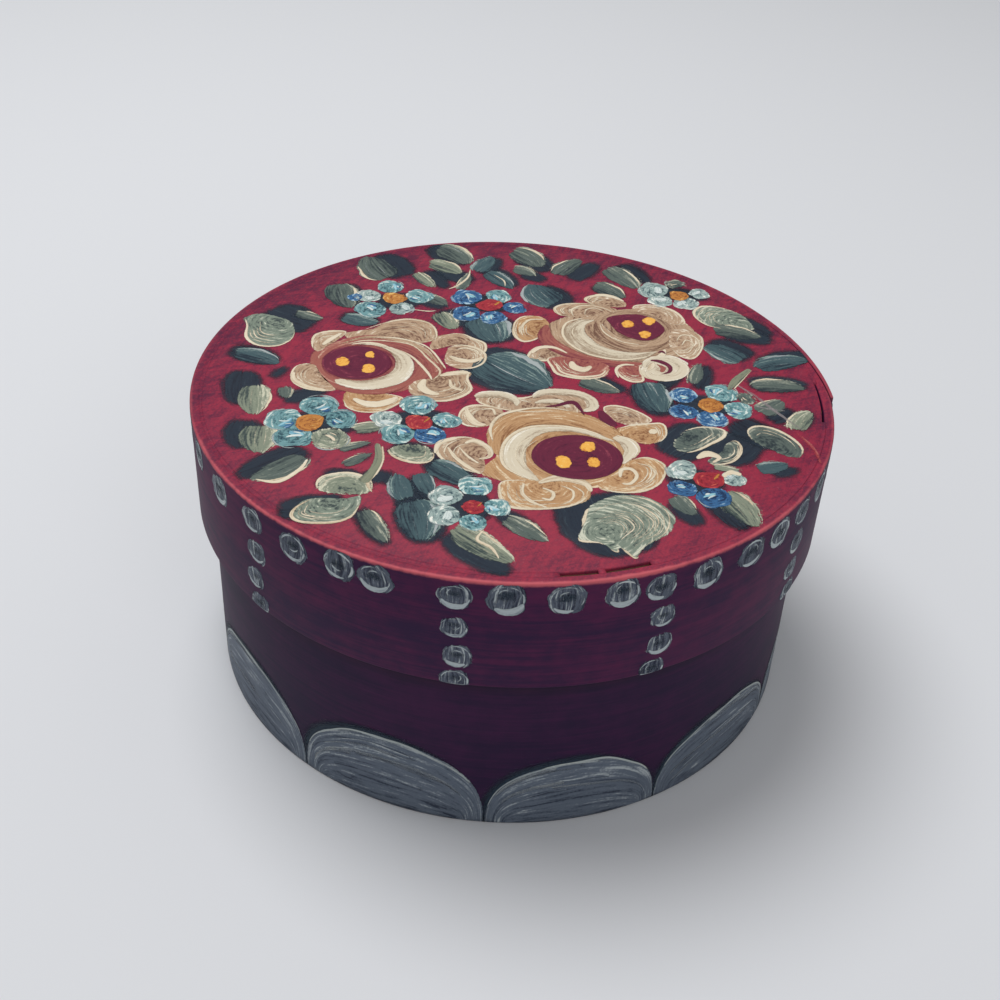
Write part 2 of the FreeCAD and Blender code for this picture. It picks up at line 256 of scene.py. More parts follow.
def maroon_ground(finish, light=BAND_MAROON, shade=BAND_SHADE):
    """Dark oil paint drawn round the band in long level strokes."""
    long_streaks = finish.cloud(finish.place((14, 14, 620)), 1.0, 4.0, 0.6)
    short_streaks = finish.cloud(finish.place((70, 70, 1500)), 1.0, 3.0, 0.6)
    patches = finish.cloud(finish.place((26, 26, 60)), 1.0, 2.0)
    blots = finish.cloud(finish.place((150, 150, 190)), 1.0, 3.0, 0.65)
    veil = long_streaks * 0.45 + short_streaks * 0.3 + patches * 0.45 + blots * 0.45
    dark = finish.steps(veil, 0.6, 1.02)
    return finish.mix(dark, light, shade), long_streaks * 0.5 + short_streaks * 0.5


def painted_board_finish():
    finish = Finish("red_lid_paint")
    _, _, z, _ = finish.along_axes()
    paint, relief = crimson_ground(finish)
    wood, _ = wood_grain(finish, finish.place(BOARD_STRETCH, BOARD_GRAIN_ANGLE))
    on_top = finish.steps(z, LID_TOP - 1.6 * MM, LID_TOP - 0.9 * MM)
    return finish.finished(finish.mix(on_top, wood, paint), relief, PAINT_RELIEF)


def painted_lid_band_finish():
    """Red over the top edge, dark maroon down the outside, bare wood inside, and a worn pink top corner with
    painted highlight on it at the front.
    """
    finish = Finish("painted_lid_band")
    _, y, z, radius = finish.along_axes()
    drift = finish.cloud(finish.place((420, 420, 420)), 1.0, 4.0, 0.7) - 0.5
    bare = finish.cloud(finish.place((60, 60, 60)), 1.0, 3.0) - 0.5
    red, _ = crimson_ground(finish)
    maroon, relief = maroon_ground(finish)
    wood, _ = wood_grain(finish, finish.place(BAND_STRETCH))
    red_edge = finish.steps(z + drift * 0.5 * MM, LID_TOP - 0.72 * MM, LID_TOP - 0.38 * MM)
    paint = finish.mix(red_edge, maroon, red)
    corner = radius + z + drift * 1.1 * MM + bare * 1.2 * MM
    worn_and_lit_edge = finish.steps(corner, LID_OUTER + LID_TOP - 1.5 * MM, LID_OUTER + LID_TOP - 0.6 * MM)
    # Stronger at the front: painted highlight where the rounded edge meets the light, over the corner's wear
    front = finish.steps(0 - y, -0.01, 0.07) * 0.55 + 0.2
    paint = finish.mix(worn_and_lit_edge * front, paint, WORN_AND_LIT_EDGE_PINK)
    outside = finish.steps(radius + drift * 1.2 * MM, LID_INNER + 0.9 * MM, LID_INNER + 1.3 * MM)
    above = finish.steps(z, LID_BOARD_UNDERSIDE, LID_BOARD_UNDERSIDE + 1 * MM)
    painted = finish.maths("MAXIMUM", outside, above)
    return finish.finished(finish.mix(painted, wood, paint), relief, strength=0.45)


def painted_wall_finish():
    """Dark maroon outside, in a darker copy of the band's maroon as painted shade, with a painted shadow
    just below the lid's foot; bare wood inside and on the top edge.
    """
    finish = Finish("painted_base_wall")
    _, _, z, radius = finish.along_axes()
    drift = finish.cloud(finish.place((160, 160, 160)), 1.0, 3.0) - 0.5
    # The wall's maroon is a darker copy of the band's: painted shade
    maroon, relief = maroon_ground(finish, WALL_MAROON_IN_SHADE, WALL_STREAKS_IN_SHADE)
    wood, _ = wood_grain(finish, finish.place(BAND_STRETCH))
    outside = finish.steps(radius + drift * 1.2 * MM, BASE_OUTER - 1.2 * MM, BASE_OUTER - 0.8 * MM)
    # Painted shadow: darker towards the lid's foot, where the lid overhangs the wall
    lid_foot_shadow = finish.steps(z + drift * 3 * MM, LID_FOOT - 8 * MM, LID_FOOT - 1.5 * MM) * 0.6
    maroon = finish.mix(lid_foot_shadow, maroon, LID_FOOT_SHADOW_DARK)
    return finish.finished(finish.mix(outside, wood, maroon), relief, strength=0.45)


def bare_board_finish():
    finish = Finish("bare_board", roughness=0.68)
    wood, relief = wood_grain(finish, finish.place(BOARD_STRETCH, BOARD_GRAIN_ANGLE))
    return finish.finished(wood, relief, strength=0.4)


def fastening_finish(name, light, dark, painted_from):
    """A root or a peg: its own brown inside, and painted over with the band outside."""
    finish = Finish(name, roughness=0.6)
    _, _, _, radius = finish.along_axes()
    fibres = finish.cloud(finish.place((300, 300, 2600)), 1.0, 3.0)
    bare = finish.mix(finish.steps(fibres, 0.35, 0.65), light, dark)
    maroon, _ = maroon_ground(finish)
    paint = finish.mix(finish.steps(fibres, 0.6, 0.75) * 0.35, maroon, dark)
    outside = finish.steps(radius, painted_from - 0.4 * MM, painted_from)
    return finish.finished(finish.mix(outside, bare, paint), fibres, strength=0.6)


def paint_of(
    name,
    dark,
    middle,
    light,
    lean=0.5,
    streaks=1.0,
    start=0.3,
    fade=0.35,
    ragged=1.2,
    cover=1.0,
    side=0.0,
):
    """Paint from a loaded brush: streaks of its bristles, lighter on the side that took up light paint."""
    dark, middle, light = (colour(*tone) for tone in (dark, middle, light))
    finish = Finish(name, roughness=0.55)
    drag = finish.attribute("drag", "Vector")
    load = finish.attribute("load")
    rim = finish.attribute("rim")
    tone = finish.attribute("tone")
    bristles = finish.cloud(drag, 1.0, 4.0, 0.65) - 0.5
    patches = finish.cloud(drag, 0.22, 2.0) - 0.5
    grain = finish.cloud(finish.place((1500, 1500, 1500)), 1.0, 2.0) - 0.5
    body = load * lean + bristles * (2.6 * streaks) + patches * 0.9 + grain * 0.7 + (tone - 0.5) * 0.45
    base = finish.mix(finish.steps(body, -0.75, 0.1), dark, middle)
    base = finish.mix(finish.steps(body, 0.3, 0.95), base, light)
    thick = rim + bristles * ragged + grain * (ragged * 0.5) + (load - 1) * (side / 2)
    alpha = finish.steps(thick, start, start + fade) * cover
    return finish.finished(base, bristles + grain * 0.5, PAINT_RELIEF, 0.6, alpha)


# Ways in which a paint lies, and all the paints with their dark, middle and light tones

SOFT = {"start": 0.5, "fade": 2.6, "ragged": 2.4, "cover": 0.9}
FINE = {"start": 0.02, "fade": 0.22, "ragged": 0.45, "lean": 0.15}
LEAF = {"streaks": 1.25, "ragged": 2.2, "side": 1.4, "fade": 0.5}
THIN = {"start": 0.02, "fade": 0.5, "ragged": 1.2, "cover": 0.5, "streaks": 1.5}

PAINTS = {
    "shadow": paint_of("dark_leaf_shadow", (20, 28, 42), (36, 50, 64), (66, 84, 92), lean=0.1, **SOFT),
    "sage": paint_of("sage_leaf", (56, 70, 70), (134, 142, 124), (214, 212, 188), lean=0.7, **LEAF),
    "dusk": paint_of("dusky_leaf", (40, 52, 58), (92, 104, 98), (178, 180, 162), lean=0.6, **LEAF),
    "teal": paint_of("teal_leaf", (26, 42, 56), (68, 92, 98), (142, 162, 156), lean=0.6, **LEAF),
    "fan": paint_of("fan_leaf", (58, 70, 70), (128, 140, 126), (210, 212, 192), lean=0.2, streaks=1.7),
    "stem": paint_of("leaf_stem", (80, 90, 82), (136, 140, 118), (206, 200, 172), **FINE),
    "cream": paint_of("cream_line", (196, 174, 144), (230, 216, 190), (246, 240, 224), **FINE),
    "dab": paint_of("pale_dab", (150, 176, 182), (216, 226, 222), (248, 248, 240), **FINE),
    "milk": paint_of("cream_crescent", (160, 138, 114), (220, 208, 184), (248, 242, 228), ragged=0.9),
    "tan": paint_of("tan_petal", (118, 84, 68), (186, 156, 128), (240, 228, 206), lean=0.3, streaks=1.5),
    "ochre": paint_of("ochre_petal", (138, 92, 60), (192, 150, 108), (238, 220, 186), lean=0.3, streaks=1.5),
    "blush": paint_of("blush_petal", (116, 38, 58), (162, 94, 84), (216, 174, 152), lean=0.4),
    "maroon": paint_of("maroon_heart", (70, 14, 46), (104, 30, 58), (152, 66, 84), lean=0.1, ragged=0.6),
    "yellow": paint_of("yellow_dot", (204, 122, 46), (246, 184, 84), (252, 222, 146), lean=-0.3),
    "blue": paint_of("blue_petal", (22, 48, 86), (56, 104, 150), (176, 206, 222), lean=0.3, streaks=1.8),
    "turquoise": paint_of(
        "turquoise_petal", (46, 82, 94), (114, 158, 162), (222, 234, 226), lean=0.35, streaks=1.8
    ),
    "pale": paint_of("pale_petal", (66, 90, 98), (158, 178, 174), (244, 244, 234), lean=0.35, streaks=1.8),
    "sky": paint_of(
        "petal_light", (88, 144, 170), (146, 198, 212), (220, 238, 238), streaks=1.4, ragged=0.8
    ),
    "hatch": paint_of("petal_hatching", (30, 52, 66), (52, 78, 90), (90, 116, 124), **THIN),
    "red": paint_of("red_centre", (126, 26, 46), (166, 46, 58), (216, 108, 86), lean=0.1, streaks=1.6),
    "orange": paint_of(
        "orange_centre", (138, 76, 40), (194, 128, 62), (236, 192, 116), lean=0.1, streaks=1.6
    ),
    "pewter": paint_of("band_dot", (38, 42, 60), (84, 92, 106), (176, 184, 186), lean=0.1, streaks=2.2),
    "foam": paint_of("dot_highlight", (122, 132, 142), (176, 186, 190), (228, 232, 226), **FINE),
    "slate": paint_of("scallop", (46, 54, 70), (96, 106, 120), (172, 180, 184), lean=0.3, streaks=1.5),
    "haze": paint_of("scallop_haze", (84, 92, 106), (134, 142, 150), (190, 196, 196), **THIN),
    "mist": paint_of("light_edge", (120, 128, 136), (170, 178, 178), (216, 220, 212), **FINE),
    "scratch": paint_of("light_scratch", (140, 120, 128), (170, 160, 162), (200, 196, 194), **THIN),
    "scrape": paint_of("pink_scrape", (170, 58, 70), (206, 96, 96), (224, 140, 130), **THIN),
}


# Solid wooden pieces


def new_piece(name, bm, finishes, body, replaced=None):
    """Turns a finished bmesh into a piece that rides on a body."""
    mesh = bpy.data.meshes.new(name)
    bm.to_mesh(mesh)
    bm.free()
    for face in mesh.polygons:
        face.use_smooth = True
    for finish in finishes:
        mesh.materials.append(finish)
    piece = bpy.data.objects.new(name, mesh)
    bpy.context.scene.collection.objects.link(piece)
    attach(piece, body)
    if replaced:
        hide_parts(replaced)


def round_over(bm, edges, width, steps):
    bmesh.ops.bevel(
        bm, geom=edges, offset=width, affect="EDGES", segments=steps, profile=0.5, material=-1
    )


def waver(angle, turns, seed):
    """A slow hand-made unevenness round a ring, from about -1 to 1."""
    spot = Vector((math.cos(angle) * turns, math.sin(angle) * turns, seed))
    return noise.noise(spot) * 1.6


EDGE_ROUND = 0.5 * MM
EDGE_WAVER = 0.14 * MM
STRIP_STEPS = 300
TIP_RUN = math.radians(2)


def bent_strip(inner, outer, outer_tip, foot, head, seed):
    """A lath with softened edges and tapered ends, bent into a ring with its ends lapped."""
    thickness = outer - inner
    lap = LAP_LENGTH / outer
    whole_turn = math.tau + lap - LAP_END_GAP / inner
    length = whole_turn * outer
    bm = bmesh.new()
    bmesh.ops.create_cube(bm, size=1)
    bmesh.ops.scale(bm, vec=(length, thickness, head - foot), verts=bm.verts)
    round_over(bm, bm.edges[:], EDGE_ROUND, 3)
    long_edges = [e for e in bm.edges if abs(e.verts[0].co.x - e.verts[1].co.x) > length / 2]
    bmesh.ops.subdivide_edges(bm, edges=long_edges, cuts=STRIP_STEPS, use_grid_fill=True)
    for vert in bm.verts:
        turned = (vert.co.x / length + 0.5) * whole_turn
        share = vert.co.y / thickness + 0.5
        low, high = inner, outer
        if turned < lap:
            high = inner + LAP_INNER_TIP + (thickness - LAP_INNER_TIP) * turned / lap
        over = turned - (whole_turn - lap)
        if over > -TIP_RUN:
            low = inner + (LAP_INNER_TIP + LAP_GLUE_GAP) * min(1, 1 + over / TIP_RUN)
        if over > 0:
            low += (thickness - LAP_INNER_TIP) * over / lap
            high = outer + outer_tip * over / lap
        angle = lap - turned
        rise = 0.5 + vert.co.z / (head - foot)
        sag = EDGE_WAVER * max(0, 0.5 + 0.5 * waver(angle, 1.4, seed + rise))
        radius = low + (high - low) * share
        height = foot + rise * (head - foot) + (sag if rise < 0.5 else -sag)
        vert.co = Vector((radius * math.cos(angle), radius * math.sin(angle), height))
    bmesh.ops.recalc_face_normals(bm, faces=bm.faces)
    return bm


BOARD_STEPS = 192
BOARD_ROUND = 0.35 * MM
SAME_PLACE = 0.01 * MM


def board_reach(angle, radius, shrinkage):
    """How far a board reaches in a direction, less across its grain."""
    return radius - shrinkage * abs(math.sin(angle - math.radians(BOARD_GRAIN_ANGLE)))


def round_board(radius, shrinkage, foot, head):
    """A board turned from its half section, with a softened rim."""
    bm = bmesh.new()
    corners = [(0, foot), (radius, foot), (radius, head), (0, head)]
    section = [bm.verts.new((across, 0, height)) for across, height in corners]
    for low, high in zip(section, section[1:]):
        bm.edges.new((low, high))
    bmesh.ops.spin(
        bm,
        geom=bm.verts[:] + bm.edges[:],
        cent=(0, 0, 0),
        axis=(0, 0, 1),
        dvec=(0, 0, 0),
        angle=math.tau,
        steps=BOARD_STEPS,
        use_merge=True,
        use_duplicate=False,
    )
    bmesh.ops.remove_doubles(bm, verts=bm.verts, dist=SAME_PLACE)
    rim = [e for e in bm.edges if abs(e.verts[0].co.z - e.verts[1].co.z) < SAME_PLACE]
    rim = [e for e in rim if min(v.co.xy.length for v in e.verts) > radius * 0.9]
    round_over(bm, rim, BOARD_ROUND, 2)
    for vert in bm.verts:
        angle = math.atan2(vert.co.y, vert.co.x)
        reach = board_reach(angle, radius, shrinkage) / radius
        vert.co.x *= reach
        vert.co.y *= reach
    bmesh.ops.recalc_face_normals(bm, faces=bm.faces)
    return bm


ROOT_ROUND = 0.22 * MM
PEG_ROUND = 0.2 * MM
PEG_STAND = 0.012 * MM
PAINT_DEPTH = 0.3 * MM
SAME_CORNER = 0.002 * MM
FLAT = math.radians(8)
SHARP = math.radians(35)


def softened_copy(node, width, reach=None):
    """The solids of a node with their edges rounded over, and cut back to a reach from the upright axis."""
    bm = bmesh.new()
    bm.from_mesh(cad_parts[node].data)
    bmesh.ops.remove_doubles(bm, verts=bm.verts, dist=SAME_CORNER)
    bmesh.ops.dissolve_limit(bm, angle_limit=FLAT, verts=bm.verts[:], edges=bm.edges[:])
    sharp = [e for e in bm.edges if len(e.link_faces) == 2 and e.calc_face_angle() > SHARP]
    round_over(bm, sharp, width, 2)
    for vert in bm.verts:
        out = vert.co.xy.length
        if reach and out > reach:
            vert.co.x *= reach / out
            vert.co.y *= reach / out
    bmesh.ops.recalc_face_normals(bm, faces=bm.faces)
    return bm


def make_wood():
    """All the wooden pieces of the lid and the base."""
    lid_band = bent_strip(LID_INNER, LID_GROUND, LID_LAP_TIP, LID_FOOT, GROUND_TOP, 3.0)
    new_piece("painted_lid_band", lid_band, [painted_lid_band_finish()], "lid", "lid_band")
    wall = bent_strip(BASE_INNER, BASE_GROUND, BASE_LAP_TIP, 0, WALL_TOP, 9.0)
    new_piece("painted_base_wall", wall, [painted_wall_finish()], "base", "base_wall")
    lid_board = round_board(
        LID_INNER - BOARD_CLEARANCE, BOARD_SHRINKAGE, LID_BOARD_UNDERSIDE, GROUND_TOP
    )
    board_paint = painted_board_finish()
    new_piece("painted_lid_board", lid_board, [board_paint], "lid", "lid_board")
    base_board = round_board(BASE_INNER - BOARD_CLEARANCE, 0, 0, BASE_BOARD_TOP)
    new_piece("bare_base_board", base_board, [bare_board_finish()], "base", "base_board")
    for body, outer in (("lid", LID_GROUND), ("base", BASE_GROUND)):
        root = fastening_finish(f"{body}_root", ROOT_LIGHT, ROOT_DARK, outer - PAINT_DEPTH)
        peg = fastening_finish(f"{body}_peg", PEG_LIGHT, PEG_DARK, outer - PAINT_DEPTH)
        for end in ("outer", "inner"):
            node = f"{body}_{end}_stitches"
            new_piece(f"{body}_{end}_roots", softened_copy(node, ROOT_ROUND), [root], body, node)
        node = f"{body}_pegs"
        pegs = softened_copy(node, PEG_ROUND, outer + PEG_STAND)
        new_piece(f"{body}_peg_heads", pegs, [peg], body, node)
    return board_paint


# The groove between the lid's board and its band, filled with paint except where it has cracked open from
# one azimuth to another

CRACKS = ((-81.5, -75.3), (-74.2, -66.5), (-8.7, 4.8))
FILL_STEP = 1.5
FILL_DEPTH = 1.2 * MM
FILL_OVERLAP = 0.45 * MM
FILL_RISE = 0.02 * MM


def fill_groove(paint):
    """The sagging skin of paint over the groove, from the end of each crack to the next one."""
    bm = bmesh.new()
    starts = [crack[1] for crack in CRACKS]
    ends = [crack[0] for crack in CRACKS[1:]] + [CRACKS[0][0] + 360]
    radius = LID_INNER - BOARD_CLEARANCE
    for start, end in zip(starts, ends):
        steps = max(2, round((end - start) / FILL_STEP))
        grid = bmesh.ops.create_grid(bm, x_segments=steps, y_segments=4, size=1)
        for vert in grid["verts"]:
            along = (vert.co.x + 1) / 2
            side = vert.co.y
            angle = math.radians(start + (end - start) * along)
            inner = board_reach(angle, radius, BOARD_SHRINKAGE) - BOARD_ROUND
            outer = LID_INNER + FILL_OVERLAP
            reach = inner + (outer - inner) * (side + 1) / 2
            depth = 0.16 + 0.1 * waver(angle, 9, 2.0)
            height = GROUND_TOP - depth * MM * (1 - side ** 4) + FILL_RISE
            vert.co = Vector((reach * math.cos(angle), reach * math.sin(angle), height))
    made = bmesh.ops.extrude_face_region(bm, geom=bm.faces[:])
    for item in made["geom"]:
        if isinstance(item, bmesh.types.BMVert):
            item.co.z = GROUND_TOP - FILL_DEPTH
    bmesh.ops.recalc_face_normals(bm, faces=bm.faces)
    new_piece("lid_groove_paint", bm, [paint], "lid")


# Brush strokes. Their places and sizes are in millimetres: on the lid, from its middle. On a band they run
# round the outside from azimuth 0, and up from the band's foot. Each layer lies higher than the one below.
# The strokes in a layer are staggered so that neighbours don't share a height. Every stroke swells a little
# away from its rim, and its foot lies inside the wood.

LAYER = 0.018
SPREAD = 0.017
STAGGER = 0.618
DOME = 0.012
STROKE_SINK = 0.02


def between(limits, share):
    """The value that lies at a share, from -1 to 1, between two limits."""
    return limits[0] + (limits[1] - limits[0]) * (share + 1) / 2


def smooth(points, t, closed=False):
    """A point on the smooth curve through the given ones, with t from 0 to 1 along it."""
    count = len(points)
    place = (t % 1) * count if closed else t * (count - 1)
    first = min(int(place), count - (1 if closed else 2))
    part = place - first
    numbers = [first + step for step in (-1, 0, 1, 2)]
    if closed:
        picked = [points[number % count] for number in numbers]
    else:
        picked = [points[min(max(number, 0), count - 1)] for number in numbers]
    found = []
    for a, b, c, d in zip(*picked):
        bend = 2 * a - 5 * b + 4 * c - d + part * (3 * (b - c) + d - a)
        found.append(b + 0.5 * part * (c - a + part * bend))
    return found


class Brushwork:
    """A piece made of strokes, each a thin closed patch of paint laid on a flat sheet and then wrapped."""

    def __init__(self, seed):
        self.bm = bmesh.new()
        self.drag = self.bm.verts.layers.float_vector.new("drag")
        self.layers = [self.bm.verts.layers.float.new(name) for name in ("load", "rim", "tone")]
        self.paints = []
        self.chance = random.Random(seed)
        self.made = 0

    def lay(self, paint, layer, detail, shape):
        """One stroke. Its shape turns u and v, from -1 to 1, into x, y, drag, load and inwardness."""
        grid = bmesh.ops.create_grid(self.bm, x_segments=detail[0], y_segments=detail[1], size=1)
        tone = self.chance.random()
        self.made += 1
        height = LAYER * (layer + 1) + SPREAD * (self.made * STAGGER % 1)
        for vert in grid["verts"]:
            x, y, drag, load, rim = shape(vert.co.x, vert.co.y)
            vert.co = Vector((x, y, height + DOME * min(1, rim)))
            vert[self.drag] = Vector(drag) + Vector((0, tone * 40, 0))
            for kept, value in zip(self.layers, (load, rim, tone)):
                vert[kept] = value
        if paint not in self.paints:
            self.paints.append(paint)
        for face in {face for vert in grid["verts"] for face in vert.link_faces}:
            face.material_index = self.paints.index(paint)

    def stroke(
        self,
        paint,
        x,
        y,
        length,
        width,
        angle=0,
        bend=0,
        layer=0,
        ends=(0.4, 0.5),
        share=(-1, 1),
        reach=(-1, 1),
        rough=1.0,
        detail=(14, 6),
    ):
        """A stroke about x, y along an angle. Share and reach pick a strip of its width and length."""
        heel, tip = ends
        seed = self.chance.uniform(0, 100)
        peak = (heel - tip) / (heel + tip)
        widest = (1 + peak) ** heel * (1 - peak) ** tip
        curve = math.radians(bend) / length
        turn = Matrix.Rotation(math.radians(angle), 2)
        strip = share != (-1, 1)

        def shape(u, v):
            even = math.sin(u * math.pi / 2)
            t = between(reach, even)
            taper = math.sqrt(max(0, 1 - even * even)) if strip else 1
            q = between(share, 0) + v * (share[1] - share[0]) / 2 * taper
            inside = max(-0.999, min(0.999, t))
            half = width / 2 * ((1 + inside) ** heel * (1 - inside) ** tip / widest + 0.02)
            half *= 1 + 0.13 * rough * noise.noise(Vector((t * length * 0.2, q * 1.5, seed))) * abs(q)
            ragged = noise.noise(Vector((q * 4, seed, 0))) * 0.06 * rough * abs(t) ** 6
            run = (t + ragged) * length / 2
            heading = curve * run
            spot = Vector((run, 0))
            if abs(curve) > 1e-6:
                spot = Vector((math.sin(heading), 1 - math.cos(heading))) / curve
            spot += Vector((-math.sin(heading), math.cos(heading))) * (q * half)
            spot = turn @ spot
            rim = min((1 - abs(v)) * half * (share[1] - share[0]) / 2, (1 - abs(even)) * length / 2)
            return x + spot.x, y + spot.y, (run * 0.12, 0, q * width * 0.7), v, rim

        self.lay(paint, layer, detail, shape)

    def ribbon(self, paint, points, layer=4, detail=None):
        """A stroke along a smooth curve through points, each with the width that the stroke has there."""
        count = detail or (8 + 5 * len(points), 5 if max(p[2] for p in points) > 2 else 3)
        total = sum(math.dist(a[:2], b[:2]) for a, b in zip(points, points[1:]))

        def shape(u, v):
            t = (u + 1) / 2
            x, y, width = smooth(points, t)
            ahead = smooth(points, min(1, t + 0.01))
            behind = smooth(points, max(0, t - 0.01))
            along = Vector((ahead[0] - behind[0], ahead[1] - behind[1])).normalized()
            half = max(0.05, width / 2) * min(1, 6 * (1 - abs(u)) + 0.3)
            rim = min((1 - abs(v)) * half, (1 - abs(u)) * total / 2)
            return (
                x - along.y * v * half,
                y + along.x * v * half,
                (t * total * 0.12, 0, v * half * 1.5),
                v,
                rim,
            )

        self.lay(paint, layer, count, shape)

    def patch(self, paint, outline, eye, layer, detail=14):
        """Paint filling a closed outline, brushed in rings about its eye and lightest at the outline."""

        def shape(u, v):
            across = u * math.sqrt(1 - v * v / 2)
            up = v * math.sqrt(1 - u * u / 2)
            ring = min(1, math.hypot(across, up))
            turned = math.atan2(up, across)
            x, y = smooth(outline, turned / math.tau, True)
            far = math.dist((x, y), eye)
            rim = (1 - ring) * far
            drag = (math.cos(turned) * 1.3, math.sin(turned) * 1.3, ring * far * 1.2)
            return eye[0] + (x - eye[0]) * ring, eye[1] + (y - eye[1]) * ring, drag, ring * 2 - 1, rim

        self.lay(paint, layer, (detail, detail), shape)

    def echo(self, paint, outline, eye, ring, span, width, layer):
        """A line that follows part of an outline at a share of its distance from the eye."""
        steps = 7
        points = []
        for step in range(steps):
            share = step / (steps - 1)
            x, y = smooth(outline, span[0] + (span[1] - span[0]) * share, True)
            swell = width * (0.35 + 0.65 * math.sin(math.pi * share)) * self.chance.uniform(0.75, 1.25)
            near = ring * self.chance.uniform(0.98, 1.015)
            points.append((eye[0] + (x - eye[0]) * near, eye[1] + (y - eye[1]) * near, swell))
        self.ribbon(paint, points, layer, (22, 3))

    def petal(self, paint, outline, eye, heart, layer, lines=5):
        """A rose's petal: its paint, a cream edge on the side away from the heart, and fine lines within."""
        outward = (Vector(eye) - Vector(heart)).normalized()
        near = min((Vector(point) - Vector(eye)).length for point in outline)
        eye = tuple(Vector(eye) - outward * near * 0.55)
        self.patch(paint, outline, eye, layer)
        samples = [step / 60 for step in range(60)]
        far = max(samples, key=lambda t: (Vector(smooth(outline, t, True)) - Vector(eye)).dot(outward))
        self.echo("cream", outline, eye, 0.95, (far - 0.33, far + 0.33), 1.1, layer + 1)
        for number in range(lines):
            ring = 0.5 + 0.36 * (number + 0.5) / lines + self.chance.uniform(-0.04, 0.04)
            middle = far + self.chance.uniform(-0.08, 0.08)
            half = self.chance.uniform(0.12, 0.24)
            self.echo("cream", outline, eye, ring, (middle - half, middle + half), 0.55, layer + 1)

    def wrap(self, name, body, place):
        """Gives the strokes their thickness, lays them where they belong and makes the piece."""
        made = bmesh.ops.extrude_face_region(self.bm, geom=self.bm.faces[:])
        for item in made["geom"]:
            if isinstance(item, bmesh.types.BMVert):
                item.co.z = -STROKE_SINK
        bmesh.ops.recalc_face_normals(self.bm, faces=self.bm.faces)
        for vert in self.bm.verts:
            vert.co = place(vert.co * MM)
        finishes = [PAINTS[paint] for paint in self.paints]
        new_piece(name, self.bm, finishes, body)


LID_PAINT_REACH = LID_OUTER - 1.2 * MM
FOOT_MARGIN = 0.5 * MM
TOP_MARGIN = 0.6 * MM
SQUASH = 0.3 * MM
STEP_OVERHANG = 0.6 * MM


def on_lid(spot):
    """Lays a flat sheet on the lid and keeps it off the rim."""
    out = math.hypot(spot.x, spot.y)
    keep = min(1, LID_PAINT_REACH / max(out, MM))
    return Vector((spot.x * keep, spot.y * keep, GROUND_TOP + spot.z))


def round_band(radius, lap_tip, ramp, foot, top):
    """Wraps a flat sheet round a band and its lap, and squashes what runs past the foot and the top.

    Azimuth 0 is the step at the lap's outer end. The paint rises to it over the ramp's length.
    """
    lap = LAP_LENGTH / radius

    def place(spot):
        angle = spot.x / radius
        reach = radius + spot.z
        turned = angle % math.tau
        before_step = (math.tau - turned) * radius
        if turned < lap:
            reach += lap_tip * (1 - turned / lap)
        else:
            rise = min(1, max(0, 1 - (before_step - STEP_OVERHANG) / ramp))
            reach += lap_tip * rise * rise * (3 - 2 * rise)
        height = foot + spot.y
        low, high = foot + FOOT_MARGIN, top - TOP_MARGIN
        if height < low:
            height = low - SQUASH * (1 - math.exp((height - low) / MM))
        if height > high:
            height = high + SQUASH * (1 - math.exp((high - height) / MM))
        return Vector((reach * math.cos(angle), reach * math.sin(angle), height))

    return place


# Leaves: x, y, length, width, angle, bend, paint, and the shadow's shift and growth

